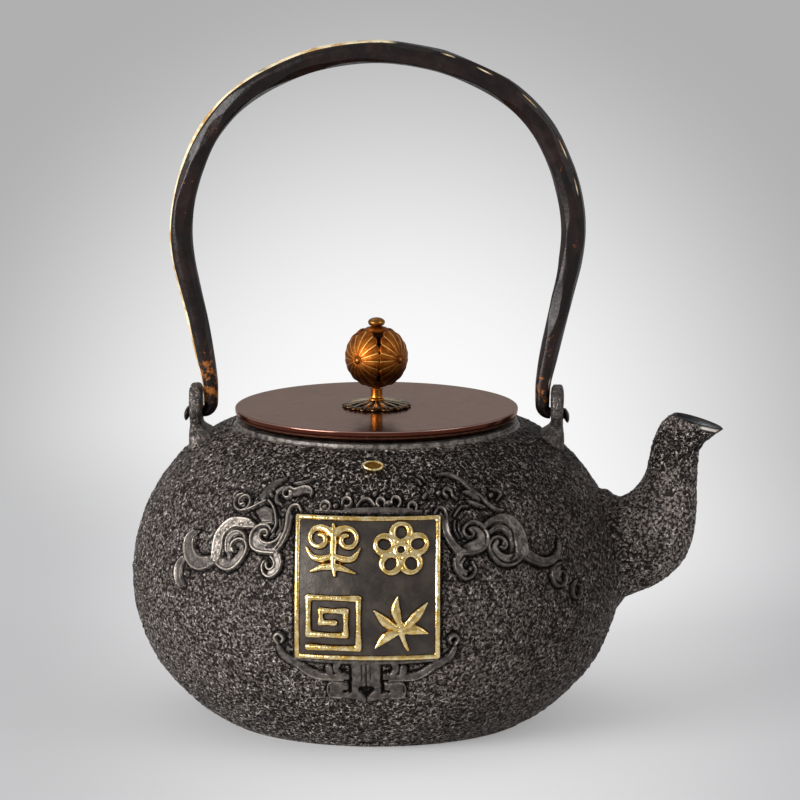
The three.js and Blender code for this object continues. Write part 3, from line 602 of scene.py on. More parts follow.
SPOUT_SIDE = [
    (slab, 0.5, [0.7, 0.9, 1], [28.4, 33, 29.3, 29.6, 29.2, 25.6, 31, 21.6, 33.4, 18.4]),
    (ridge, 1, [0.5, 0.6, 0.6, 0.55],
     [26.1, 33, 28, 34.8, 30, 34.2, 30.5, 31.8, 30.1, 28.4, 30.4, 25, 31.8, 22.2, 33.8, 19.6]),
    (ridge, 0.8, [0.35, 0.4, 0.4], [28.5, 30.6, 28.2, 26.6, 29, 23.4, 31, 20, 32.6, 17.8]),
    (slab, 0.62, [1.4, 1.2, 1, 0.9], [33.6, 18, 31.9, 15.6, 32.6, 12.4, 34.4, 11]),
    (ridge, 1, [0.5, 0.6, 0.6, 0.5], [31, 16.6, 31.2, 12.9, 33.6, 9.8, 36.4, 9.9, 38.3, 12.2, 37.4, 15]),
    (ridge, 1, [0.45, 0.5, 0.5], [34.6, 16.4, 33.2, 14.6, 33.6, 12.6, 35, 12]),
    (ridge, 0.9, [0.8, 0.8], [36.4, 12.6, 36.6, 12.8]),
    (slab, 0.55, [1.4, 2, 2.1, 1.8, 1.2, 0.8],
     [34.6, 19.2, 38.6, 20.2, 41.8, 21.4, 42.6, 24, 41, 26.2, 38.6, 26.4]),
    (ridge, 1, [0.6, 0.65, 0.6, 0.5],
     [34.2, 17.9, 38.5, 17.9, 41.7, 18.6, 44.1, 20.4, 45.1, 23.2, 44.5, 26.1, 42.8, 27.9, 40.3, 28.8, 38, 28,
      36.4, 26.7, 35.9, 25.2, 36.9, 23.9, 38.6, 23.5, 39.8, 24.6, 39, 25.8]),
    (ridge, 0.7, [0.35, 0.3], [33.4, 29.6, 32.6, 26.6, 33.8, 23.4]),
    (ridge, 0.6, [0.3, 0.35], [34.8, 29, 34.3, 26.2, 35.2, 23.8]),
    (dotted, 1, [1.2, 1.6, 2.1, 2.5, 2.8, 2.9, 2.8],
     [45.4, 27, 48, 27.9, 50.8, 28.4, 53.8, 28.3, 56.4, 26.8, 58.1, 24, 58.4, 20.6, 58.1, 17]),
    (slab, 0.5, [0.8, 1, 1.1, 1], [46.6, 24.4, 50.4, 25.6, 53.2, 24.6, 54.6, 21.6, 54, 17.6]),
    (ridge, 0.9, [0.4, 0.45, 0.4], [45.8, 24.6, 48.6, 26, 51.4, 26.2, 53.8, 25.2, 54.8, 23.2, 54.4, 20.6]),
    (slab, 0.5, [1.4, 1.6, 1.5, 1.1], [55.4, 15.4, 51.4, 14.9, 48.4, 16.4, 47, 19.2, 48.6, 21]),
    (ridge, 1, [0.6, 0.65, 0.6, 0.5],
     [57.4, 14.4, 54, 12.8, 49.8, 12.8, 47, 14.6, 45.2, 17.2, 44.9, 19.8, 46.4, 21.9, 48.9, 22.6, 51.2, 21.8,
      52.1, 19.8, 51, 18.4, 49.6, 19]),
    (ridge, 0.9, [0.7, 0.6], [50.9, 20, 50.8, 20.4]),
    (channel, 0.95, [2.2, 2, 1.8, 1.7, 1.5, 1.2, 0.7, 0.3],
     [58.2, 16.4, 60.8, 14.6, 63.5, 13, 66.2, 11.9, 69.2, 11.6, 72.4, 12.4, 75.4, 14.6, 76.8, 18]),
    (ridge, 0.95, [0.4, 0.6, 0.6, 0.5, 0.4],
     [75.6, 10.2, 72.6, 9.9, 70.4, 8, 70, 5.4, 71.6, 3.1, 74.4, 2.6, 76.6, 4.2, 76.4, 6.6, 74.4, 7.4,
      73.2, 6.2]),
    (slab, 0.5, [0.8, 1.4, 1.2], [74.6, 9, 72, 6.8, 73.4, 4.6]),
    (ridge, 0.85, [0.4, 0.5, 0.5, 0.4],
     [81.6, 2.8, 79.8, 0.8, 80, -1.8, 82, -3, 84.2, -1.6, 84.4, 0.8, 82.8, 1.6]),
    (channel, 0.75, [0.4, 0.7, 0.9, 0.9, 0.8, 0.8, 0.6],
     [30.4, 47.8, 33.5, 48.1, 36.5, 47.8, 39.2, 46.4, 41.5, 44.4, 43.8, 41.3, 47, 37.8, 49.2, 34.8, 52, 32.5,
      54.8, 31.6]),
    (ridge, 0.8, [0.3, 1, 1, 0.4], [40, 40.2, 43, 39.4, 46.2, 36.4]),
    (ridge, 0.75, [0.3, 0.9, 0.4], [40.6, 36.7, 43.6, 35.2, 47.4, 33.6]),
    (ridge, 0.9, [0.9, 0.9], [52, 37.7, 52.3, 37.9]),
    (ridge, 0.8, [0.4, 0.6, 0.6, 0.4], [53.8, 35.6, 55.2, 36.4, 57.1, 38, 55.6, 39.6, 53, 40.2]),
    (ridge, 0.8, [0.9, 0.8], [29.2, 40.5, 29.6, 40.7]),
    (ridge, 0.8, [0.5, 0.7, 0.6], [36.7, 37.7, 35, 39, 34.9, 41.2, 32.8, 42, 31.4, 40.4, 32.6, 38.8]),
    (ridge, 0.8, [0.7, 0.8], [23.8, 40.3, 22.7, 39.2]),
    (ridge, 0.7, [0.4, 0.5, 0.4], [33.7, 31.5, 35.2, 33, 37.4, 34.6, 40, 34.6]),
    (ridge, 0.6, [0.3, 0.5, 0.3], [21.5, 48.4, 23.6, 47.4, 24.6, 45.2]),
    (ridge, 0.6, [0.3, 0.5, 0.3], [20.6, 46.6, 22, 45.8, 22.6, 44.2]),
    (CUT, 0.1, [0.4, 0.4], [45, 25.6, 48.2, 27, 51.6, 27.2, 54.4, 26, 55.7, 23.6, 55.3, 21.3]),
    (CUT, 0.1, [0.4, 0.4], [31.2, 30, 31, 25.8, 32.6, 22, 36.2, 19.6]),
    (CUT, 0, [0.5, 0.5], [50, 20.8, 50.3, 20.6]),
    (CUT, 0.1, [0.4, 0.4], [54.8, 17.6, 54.4, 15.8, 52.6, 14.4]),
]

TOP_EDGE = [
    (slab, 0.6, [0.9, 1.2, 0.9], [-9, 34.5, 4, 34.7, 17, 34.5]),
    (ridge, 0.6, [0.5, 0.5], [-21, 33.9, 0, 34, 21, 33.9]),
    (ridge, 0.8, [0.5, 0.6, 0.5], [-4.4, 36.2, -2.4, 38.6, 0.4, 38.9, 2.6, 36.4]),
]

# Curls along the top edge: round, up, size, first and last angle. Beads between them: round, up.
TOP_CURLS = [
    (-17.3, 35.6, 2.2, -60, 240), (-8.6, 37.4, 2, 200, -120), (4.8, 37.4, 1.9, -20, 250),
    (10.9, 37.8, 2.1, -60, 200), (17.7, 35.6, 1.9, 200, -40),
]
TOP_BEADS = [(-8.5, 40.6), (-2.3, 39.6), (2.7, 41), (8, 37.4), (-13, 36), (-17.3, 35.4)]

BRACKET_CENTRE = -0.4
BRACKET = [
    (slab, 0.52, [0.9, 0.8, 0.8], [0, -18.4, 12, -18.3, 24.4, -17.8]),
    (slab, 0.52, [1, 1.4, 1.6, 1.5, 1.4, 1.3, 1.2, 1.2],
     [30.6, -14, 29.2, -16.8, 26.2, -18.8, 22.6, -20.9, 19.4, -23, 16, -24.1, 12, -24.2, 6, -24.1]),
    (ridge, 0.95, [0.3, 0.35, 0.3], [24, -20.7, 20.4, -23.6, 16.6, -25, 12, -25.2, 8, -25.2]),
    (slab, 0.55, [1.4, 1.4], [12.8, -22.6, 13, -20.8]),
    (slab, 0.5, [1.2, 1.1, 1.4], [8.2, -23.4, 10.4, -21.6, 9.8, -19]),
    (slab, 0.5, None, [0, -18, 5.2, -18, 5, -33.4, 0, -35.2]),
    (slab, 0.52, None, [4.4, -26.2, 13.2, -26.2, 14, -32.2, 4.4, -33.6]),
    (ridge, 0.9, [0.25, 0.3, 0.3], [6.8, -26.6, 13, -26.6, 13.6, -31.9, 9, -32.6]),
    (ridge, 1, [0.6, 0.7, 0.6], [30.4, -12.6, 31.6, -10.6, 30, -9.2, 28.4, -10.6, 29, -12]),
    (CUT, 0, [0.95, 0.8], [8, -22, 7.6, -21.6]),
    (CUT, 0, [0.5, 0.55, 0.55, 0.5], [7.6, -21.2, 6.4, -20.9, 5.6, -22.2, 5.5, -26]),
    (CUT, 0, [0.42, 0.42], [5.6, -25.75, 9.4, -25.75, 14.2, -25.75]),
    (CUT, 0, [0.7, 0.8], [5.8, -26, 5.9, -30.4]),
    (CUT, 0, [0.5, 0.85], [6, -30.2, 7.8, -30.2]),
    (CUT, 0.3, [0.3, 0.3], [1.5, -19.4, 1.5, -25.4]),
    (CUT, 0, [1.5, 1.5], [1.45, -29.2, 1.5, -29.3]),
]


def draw(relief, strokes, side=1, centre=0.0):
    """Draws strokes in their order, mirrored where `side` is -1."""
    for kind, height, half, places in strokes:
        line = np.reshape(places, (-1, 2)) * [side, 1] + [centre, 0]
        if kind == CUT:
            relief.cut(line, half, height)
        elif half:
            relief.stroke(line, half, kind, height)
        else:
            relief.plate(line, kind, height)


def draw_top(relief):
    """Row of small curls along the plaque's top edge."""
    draw(relief, TOP_EDGE)
    for u, v, size, start, end in TOP_CURLS:
        relief.stroke(spiral((u, v), (size, size * 0.75), (start, end), 12), [0.5, 0.65, 0.45], ridge, 0.9)
    for u, v in TOP_BEADS:
        relief.stroke([[u - 0.3, v], [u + 0.3, v + 0.2]], [0.9, 0.8], ridge, 0.75)


def draw_bracket(relief):
    """Bracket that hangs from the plaque's bottom edge, with a heart-shaped hole in its tongue."""
    for side in (-1, 1):
        draw(relief, BRACKET, side, BRACKET_CENTRE)
    relief.cut([[BRACKET_CENTRE, -30], [BRACKET_CENTRE, -33.2]], [2.4, 0.3])


def draw_reliefs(u, v):
    """All the reliefs at the given places."""
    relief = Relief(u, v)
    draw(relief, FAR_SIDE, -1)
    draw(relief, SPOUT_SIDE)
    draw_top(relief)
    draw_bracket(relief)
    relief.plaque_at(PLAQUE_HALF_WIDTH, PLAQUE_BOTTOM, PLAQUE_TOP)
    return relief


def front_reliefs(finish):
    """Fine patch of the skin that carries the reliefs, sunk under the plain skin at its border."""
    columns = int(2 * PATCH_HALF / PATCH_STEP) + 1
    rows = int((PATCH_TOP - PATCH_BOTTOM) / PATCH_STEP) + 1
    v, u = pairs(np.linspace(PATCH_BOTTOM, PATCH_TOP, rows), np.linspace(-PATCH_HALF, PATCH_HALF, columns))
    relief = draw_reliefs(u, v)
    faces = grid_faces(rows, columns, wrap=False)
    shown = (relief.near > -PATCH_REACH) & (relief.plaque < PLAQUE_BAR)
    points, faces, kept = only_used(
        np.stack([u, v], 1), faces[shown[faces].all(axis=1)], {"height": relief.height, "near": relief.near})
    u, v = points.T
    height, near = kept["height"], kept["near"]
    skin = on_belly(u, v, 0)
    iron = ease(height, 0.05, 0.4)
    shade = ease(near, -1.6, -0.3) * (1 - iron)
    raised = height * (1 + 0.08 * clouds(skin, 3, 21))
    lift = grain(skin) * (1 - iron) * (1 - 0.8 * shade) + raised + 0.12 * iron * clouds(skin, 5, 22)
    lift -= SINK * (1 - ease(near, -PATCH_REACH, -PATCH_REACH + 2.2))
    lift -= 0.45 * ease(near, -1.4, -0.2) * (1 - iron)
    # The high value paints highlight on the tops of the strokes and shade low on them; on the spout's side it
    # is lowered, so those strokes are coloured darker as painted shade.
    high = np.clip(height / RELIEF_HEIGHT, 0, 1) * (1 - 0.36 * ease(u, 10, 30))
    nodes = ("relief_left", "relief_right", "relief_top", "relief_bottom")
    make_piece("front_reliefs", on_belly(u, v, lift), faces, finish, "kettle", nodes,
               {"iron": iron, "high": high, "shade": shade})


def foot_hole(foot, points, share):
    """Which points lie within an ellipse round a foot row, `share` times its size, on the spout's side."""
    low, high = foot.min(axis=0), foot.max(axis=0)
    centre, half = (low + high) / 2, (high - low) / 2 * share
    return (points[:, 0] > 0) & (
        ((points[:, 1] - centre[1]) / half[1]) ** 2 + ((points[:, 2] - centre[2]) / half[2]) ** 2 < 1)


def bail_rest(points):
    """1 where the lowered bail comes to lie beside the mouth, so that the skin is flat there, else 0."""
    side, front, up = np.abs(points[:, 0]), np.abs(points[:, 1]), points[:, 2]
    return ease(side, 56, 59.5) * ease(up, 90, 93.5) * ease(front, 9, 14) * (1 - ease(front, 36, 42))


def belly_skin(name, middle, finish, foot):
    """Half of the belly's pebbled outside, from the middle of the base up to the mouth ring."""
    quarter = np.pi / 2 * WIDEST_RADIUS
    around = np.linspace(middle * 2 * quarter - quarter, middle * 2 * quarter + quarter, SKIN_COLUMNS)
    along, u = pairs(np.linspace(0, SKIN_LENGTH, SKIN_ROWS), around)
    v = along - WIDEST_LEVEL_ALONG_SKIN
    flat = on_belly(u, v, 0)
    relief = draw_reliefs(u, v)
    lift = grain(flat) * ease(along, -1, 4) * (1 - ease(along, SKIN_LENGTH - 3, SKIN_LENGTH) * 0.8)
    lift -= SINK * ease(relief.near, -PATCH_REACH + 1.4, -PATCH_REACH + 3.6)
    rest = bail_rest(flat)
    lift = lift * (1 - 0.8 * rest) - 0.4 * rest
    faces = grid_faces(SKIN_ROWS, SKIN_COLUMNS, wrap=False)
    buried = (relief.near > 0) | foot_hole(foot, flat, 1)
    faces = faces[~buried[faces].all(axis=1)] + BASE_ROWS * SKIN_COLUMNS
    turn = -np.pi / 2 + around / WIDEST_RADIUS
    base = [polar(r, turn, 0) for r in np.linspace(0.5, BELLY[0][0], BASE_ROWS + 1)[:-1]]
    points = np.concatenate([*base, on_belly(u, v, lift)])
    faces = np.concatenate([grid_faces(BASE_ROWS + 1, SKIN_COLUMNS, wrap=False), faces])
    points, faces, _ = only_used(points, faces)
    make_piece(name, points, faces, finish, "kettle", ("kettle_body",))


def belly_lining(finish, foot):
    """Inside of the belly from the mouth down to the floor."""
    wall = [skin_point(s, -WALL) for s in np.linspace(SKIN_LENGTH, 0, LINING_ROWS)]
    rows = [[MOUTH_RADIUS, RING_TOP - 0.6], [MOUTH_RADIUS, RING_TOP - 3]]
    rows += [[max(r, MOUTH_RADIUS), z] for r, z in wall if RING_TOP - 4 > z > FLOOR + 2.4]
    edge = rows[-1][0]
    rows += [[edge - 1, FLOOR + 1.2], [edge - 3, FLOOR + 0.4], [edge - 6, FLOOR]]
    rows += [[r, FLOOR] for r in np.linspace(edge - 12, 0.5, 8)]
    points, faces = turned(rows, LINING_COLUMNS)
    faces = faces[~foot_hole(foot, points[faces].mean(axis=1), 0.93)]
    points[:, 2] += 0.12 * clouds(points, 5, 31) * (points[:, 2] < RING_TOP - 6)
    make_piece("belly_lining", points, faces, finish, "kettle")


def mouth_ring(finish):
    """Smooth collar between the belly and the lid."""
    corners = [[RING_RADIUS + 1.4, RING_FOOT], [RING_RADIUS + 1.2, 103.2], [RING_RADIUS, 103.7],
               [RING_RADIUS, RING_TOP], [MOUTH_RADIUS, RING_TOP], [MOUTH_RADIUS, RING_FOOT]]
    points, faces = turned(rounded(corners, 0.5), RING_COLUMNS)
    points += 0.05 * clouds(points, 3, 33)[:, None] * points / 60
    make_piece("mouth_ring", points, faces, finish, "kettle")


# Spout

def table_of(stations):
    """Smooth table of stations, with the way walked along their middle as a share from 0 to 1."""
    rows = smooth_line(stations, 24)
    middle = (rows[:, 0:2] + rows[:, 2:4]) / 2
    walked = lengths_along(middle)
    return rows, walked / walked[-1]


def section(table, share, theta, inset=0.0):
    """Points at a share of the spout's way and an angle round it, 0 on the outer side."""
    rows, shares = table
    near_x, near_z, far_x, far_z, half = (np.interp(share, shares, column) for column in rows.T)
    lean_x, lean_z = (far_x - near_x) / 2, (far_z - near_z) / 2
    length = np.hypot(lean_x, lean_z)
    size = (length - inset) / length * np.cos(theta)
    beak = 1 - 0.12 * ease(share, 0.8, 1) * (1 + np.cos(theta)) / 2
    y = (half - inset) * np.sin(theta) * beak
    return np.stack([(near_x + far_x) / 2 + lean_x * size, y, (near_z + far_z) / 2 + lean_z * size], -1)


def onto_skin(points, lift, height):
    """Points moved along the skin's normal until they stand `height` above the skin at `lift`."""
    gap, normal = off_skin(points, lift)
    return points + normal * (height - gap)[:, None]


def foot_rows(table, theta, lift, radius, skirt):
    """Rows from just under the skin at `lift` round a fillet to the tube, and the share where they end."""
    shares = np.linspace(0, FOOT_SHARE, 240)
    tube = section(table, *pairs(shares, theta))
    away = off_skin(tube, lift)[0].reshape(len(shares), len(theta))
    rows = []
    for bend in np.linspace(0, np.pi / 2, FOOT_ROWS):
        height, out = radius * (1 - math.cos(bend)), radius * (1 - math.sin(bend))
        share = np.array([shares[np.argmax(column > max(height, 0.01))] for column in away.T])
        foot = section(table, share, theta)
        out_way = unit(section(table, share, theta, -1.0) - foot)
        rows.append(onto_skin(foot + out_way * out, lift, height))
    return [onto_skin(rows[0] + out_way * skirt, lift, -0.9)] + rows, share


def bore_table():
    """Smooth table of the waterway inside the spout."""
    walls = [SPOUT_WALL] * (len(SPOUT) - 6) + [LIP_WALL] * 2
    stations = [SPOUT_ROOT, SPOUT_THROAT]
    for station, wall in zip(SPOUT[4:], walls):
        near, far = np.array(station[0:2], float), np.array(station[2:4], float)
        along = (far - near) / np.linalg.norm(far - near)
        stations.append([*(near + along * wall), *(far - along * wall), station[4] - wall])
    return table_of(stations)


def lip_rows(outer, theta):
    """Rows over the rounded end of the spout."""
    near_x, near_z, far_x, far_z, _ = SPOUT[-1]
    lean = np.array([far_x - near_x, 0, far_z - near_z])
    upwards = np.array([-lean[2], 0, lean[0]]) / np.linalg.norm(lean)
    return [section(outer, np.ones(SPOUT_COLUMNS), theta, wall) + upwards * lift
            for wall, lift in ((0.15, 0.22), (0.5, 0.4), (0.9, 0.3), (LIP_WALL, 0))]


def walls_of(table, start, theta, steps):
    """Rows of a tube between the shares where its foot ends, at step 0, and its mouth, at step 1."""
    return [section(table, start + (1 - start) * t, theta) for t in steps]


def spout_shell(finish):
    """Outside, lip and waterway of the spout as one skin. Returns its outer and inner foot on the belly."""
    outer, bore = table_of(SPOUT), bore_table()
    theta = full_turn(SPOUT_COLUMNS)
    foot, start = foot_rows(outer, theta, 0, FILLET, 1.0)
    rows = foot + walls_of(outer, start, theta, np.linspace(0, 1, SPOUT_ROWS)[1:])
    plain_rows = len(rows)
    inner_foot, start = foot_rows(bore, theta, -WALL, INNER_FILLET, 0.0)
    rows += lip_rows(outer, theta)
    rows += walls_of(bore, start, theta, np.linspace(1, 0, BORE_ROWS)[1:])
    rows += inner_foot[:0:-1]
    rows.append(inner_foot[1] - off_skin(inner_foot[1], -WALL)[1] * 0.25)
    points = np.concatenate(rows)
    level = np.repeat(np.arange(len(rows)), SPOUT_COLUMNS)
    around = np.tile(theta, len(rows))
    outwards = np.concatenate([row - row.mean(axis=0) for row in rows])
    footed = SPOUT_COLUMNS * (FOOT_ROWS + 1)
    outwards[:footed] = off_skin(points[:footed])[1]
    rough = ease(level, -1, 2) * (1 - ease(level, plain_rows - 10, plain_rows)) * 0.85
    points = points + unit(outwards) * (grain(points) * rough)[:, None]
    bare = ease(level, plain_rows - 3, plain_rows + 1)
    depth = level - plain_rows - 1.2 * np.clip(np.sin(around), 0, 1)
    lip = ease(-np.abs(level - plain_rows + 2.6), -2.1, -1.0)
    glint = ease(np.cos(around + 1.0), 0.88, 0.95) * lip
    # Painted light and shade: the inside value colours the bore just inside the lip pale blue-grey, the pale
    # value lightens the spout along one side of its round, the glint is a painted highlight just under the lip
    # at the front, and the bare lip's low high value paints it near-black as shade.
    values = {"iron": np.maximum(bare, glint), "high": np.clip(0.12 * bare + glint, 0, 1),
              "inside": ease(depth, 2.2, 4) * (1 - ease(depth, 9, 36)), "glint": glint,
              "pale": ease(level, 12, 50) * (0.1 + 0.6 * ease(np.cos(around + 1.2), 0.4, 0.95))}
    make_piece("spout_shell", points, grid_faces(len(rows), SPOUT_COLUMNS), finish, "kettle",
               ("spout",), values)
    return foot[3], inner_foot[3]


# Plaque

# Rows past the end of a bar: how many half widths past it, and the share of the width left there.
END_ROUNDING = ((1.0, 0.05), (0.85, 0.55), (0.5, 0.88))


def swept(line, half, height, bottom, sides=12):
    """Points and faces of a closed bar with a rounded top along [sideways, up] places on the front."""
    line = np.asarray(line, float)
    way = unit(np.gradient(line, axis=0))
    side = np.stack([-way[:, 1], way[:, 0]], 1)
    angle = np.linspace(0, np.pi, sides)
    stations = [(0, -back, scale) for back, scale in END_ROUNDING]
    stations += [(n, 0, 1) for n in range(len(line))]
    stations += [(len(line) - 1, back, scale) for back, scale in END_ROUNDING[::-1]]
    rows = []
    for n, back, scale in stations:
        centre = line[n] + way[n] * back * half[n]
        across = -np.cos(angle) * half[n] * scale
        across = np.append(across, [across[-1], across[0]])
        up = np.append(np.sin(angle) ** 0.75 * height * (0.25 + 0.75 * scale), [bottom, bottom])
        spots = centre + side[n] * across[:, None]
        rows.append(on_front(spots[:, 0], spots[:, 1], up))
    return np.concatenate(rows), tube_faces(len(rows), sides + 2)


def shell(name, parts):
    """A working object made of several (points, faces) in millimetres."""
    all_faces, start = [], 0
    for points, faces in parts:
        all_faces += [[start + k for k in face] for face in faces]
        start += len(points)
    return built(name, np.concatenate([points for points, _ in parts]), all_faces)


def removed(made):
    """Takes a working object out of the scene with its mesh."""
    mesh = made.data
    bpy.data.objects.remove(made)
    bpy.data.meshes.remove(mesh)


def melted(made, voxel, rounds):
    """Points, normals and faces of one closed skin round a working object, softened. The object goes."""
    remesh = made.modifiers.new("remesh", "REMESH")
    remesh.mode = "VOXEL"
    remesh.voxel_size = voxel
    made.modifiers.new("soften", "SMOOTH").iterations = rounds
    shown = made.evaluated_get(bpy.context.evaluated_depsgraph_get())
    result = shown.to_mesh()
    read = []
    for key in ("co", "normal"):
        numbers = np.empty(len(result.vertices) * 3)
        result.vertices.foreach_get(key, numbers)
        read.append(numbers.reshape(-1, 3))
    faces = [list(face.vertices) for face in result.polygons]
    shown.to_mesh_clear()
    removed(made)
    return *read, faces


def plaque_panel(finish):
    """Smooth sunken ground of the plaque."""
    half = PLAQUE_HALF_WIDTH - PLAQUE_BAR + 0.5
    n = PANEL_STEPS
    v, x = pairs(np.linspace(PLAQUE_BOTTOM + 1.6, PLAQUE_TOP - 1.6, n), np.linspace(-half, half, n))
    level = on_front(x, v, PANEL_LIFT)
    top = on_front(x, v, PANEL_LIFT + 0.1 * clouds(level, 9, 41) + 0.05 * clouds(level, 2.2, 42))
    faces = grid_faces(n, n, wrap=False)
    count = n * n
    border = np.concatenate([
        np.arange(n), n * np.arange(1, n) + n - 1, count - 2 - np.arange(n - 1), n * np.arange(n - 2, 0, -1)])
    after = np.roll(border, -1)
    walls = np.stack([border, border + count, after + count, after], 1)
    points = np.concatenate([top, on_front(x, v, -0.4)])
    faces = np.concatenate([faces, faces[:, ::-1] + count, walls])
    make_piece("plaque_panel", points, faces, finish, "kettle", ("plaque_ground",))


def plaque_rim(finish):
    """Gilt frame round the plaque, a little uneven as cast and gilded."""
    half = PLAQUE_HALF_WIDTH - PLAQUE_BAR / 2
    low, high = PLAQUE_BOTTOM + PLAQUE_BAR / 2, PLAQUE_TOP - PLAQUE_BAR / 2
    corners = [(-half, low), (half, low), (half, high), (-half, high)]
    parts = []
    for a, b in zip(corners, corners[1:] + corners[:1]):
        line = np.linspace(a, b, RIM_STEPS)
        wobble = clouds(np.column_stack([line, np.zeros(RIM_STEPS)]), 5, 51)
        parts.append(swept(line, PLAQUE_BAR / 2 * (1 + 0.06 * wobble), RIM_HEIGHT, 0.0))
    points, _, faces = melted(shell("plaque_rim_parts", parts), RIM_VOXEL, 4)
    away, outwards = off_skin(points)
    points = points + 0.06 * clouds(points, 1.6, 52)[:, None] * outwards
    make_piece("plaque_rim", points, faces, finish, "kettle", ("plaque_frame",),
               {"high": np.clip(away / 1.55, 0, 1)})


def ornament(name, centre, strokes, finish):
    """Gilt ornament of rounded, swelling strokes run together."""
    parts = []
    for line, widths in strokes:
        line = spaced(smooth_line(line, 8), max(12, int(lengths_along(np.array(line, float))[-1] * 2.2)))
        half = np.interp(np.linspace(0, 1, len(line)), np.linspace(0, 1, len(widths)), widths)
        parts.append(swept(line + np.array(centre), half, ORNAMENT_HEIGHT, ORNAMENT_FOOT))
    points, _, faces = melted(shell(name + "_parts", parts), ORNAMENT_VOXEL, 6)
    high = np.clip((off_skin(points)[0] - 0.75) / 1.2, 0, 1)
    make_piece("ornament_" + name, points, faces, finish, "kettle", ("motif_" + name,),
               {"high": high})


def cloud_ornament(finish):
    """Two curls on a stem, over a ground line."""
    strokes = []
    for side in (-1, 1):
        curl = mirrored(spiral((4.6, 3.6), (4.3, 1.3), (150, -270), 24), side)
        strokes.append((curl, [1.7, 1.3, 1, 1.25, 1]))
        strokes.append((mirrored([[0, -1.8], [3.4, -3], [6.8, -2.6], [9, 0.6]], side), [1.1, 1.5, 1.3, 0.5]))
    strokes.append(([[0, 8.6], [0, 3], [0, -3], [0.6, -8.6]], [0.8, 1.6, 1.3, 0.7]))
    strokes.append(([[-7.4, -7.4], [-3, -5.8], [2, -5.8], [7.4, -7.6]], [0.7, 1.5, 1.5, 0.6]))
    ornament("cloud", (-11.4, 20), strokes, finish)


def blossom_ornament(finish):
    """Five round petals about a ring."""
    strokes = [(spiral((0, 0), (1.9, 1.9), (0, 350), 14), [1.1, 1.1])]
    for i in range(5):
        a = math.radians(90 + 72 * i)
        centre = (5.9 * math.cos(a), 5.9 * math.sin(a))
        strokes.append((spiral(centre, (2.9, 2.9), (72 * i - 90, 72 * i + 262), 18), [0.9, 1.5, 1, 1.5, 0.9]))
    ornament("blossom", (11.2, 20.3), strokes, finish)


def fret_ornament(finish):
    """Square line that winds inwards."""
    corners = [[-8.4, -8.4], [8.4, -8.4], [8.4, 8.4], [-8.4, 8.4], [-8.4, -4], [4.2, -4], [4.2, 4.2],
               [-4.2, 4.2], [-4.2, 0.2], [0.4, 0.2]]
    strokes = [([a, [(a[0] + b[0]) / 2, (a[1] + b[1]) / 2], b], [1.45, 1.1, 1.35])
               for a, b in zip(corners, corners[1:])]
    ornament("fret", (-11.2, -4.4), strokes, finish)


def leaf_ornament(finish):
    """Five leaves on a short stem."""
    leaves = [
        [[-0.2, -2], [-4.4, 0], [-8.8, 4.4]], [[0, -1], [-1.6, 4.4], [-1, 9]],
        [[0.4, -2], [4.6, 1.6], [8.8, 6.6]], [[0.4, -3], [5, -2.4], [9, -3.6]],
        [[-0.2, -3], [-4.6, -4.6], [-8.4, -8.2]],
    ]
    strokes = [(leaf, [0.7, 1.7, 2.1, 1.5, 0.4]) for leaf in leaves]
    strokes.append(([[0, 0], [0.6, -4.4], [2.4, -9]], [1.2, 1.2, 0.8]))
    ornament("leaf", (11.2, -4.2), strokes, finish)


# Rows of the seal from its edge inwards: share of its size, lift off the skin and share of gold left unshaded,
# lower values being painted shade.
SEAL_ROWS = [
    (1, -0.4, 0.6), (1, 0.6, 0.8), (0.96, 1.05, 1), (0.88, 1.3, 1), (0.8, 1.2, 1), (0.7, 0.85, 0.5),
    (0.6, 0.7, 0.25), (0.3, 0.75, 0.2), (0.02, 0.8, 0.2),
]


def seal_boss(finish):
    """Small bare gilt oval on the shoulder with a raised edge, left bright, and painted shade inside it."""
    turn = full_turn(SEAL_COLUMNS)
    wave = 1 + 0.03 * np.sin(3 * turn) + 0.05 * np.cos(2 * turn + 1.1)
    points = np.concatenate([
        on_belly(SEAL_PLACE[0] + SEAL_HALF[0] * share * wave * np.cos(turn),
                 SEAL_PLACE[1] + SEAL_HALF[1] * share * wave * np.sin(turn), lift)
        for share, lift, _ in SEAL_ROWS])
    high = np.repeat([unshaded for _, _, unshaded in SEAL_ROWS], SEAL_COLUMNS)
    faces = grid_faces(len(SEAL_ROWS), SEAL_COLUMNS)
    make_piece("seal_boss", points, faces, finish, "kettle", ("shoulder_seal",), {"high": high})


# Lugs and bail

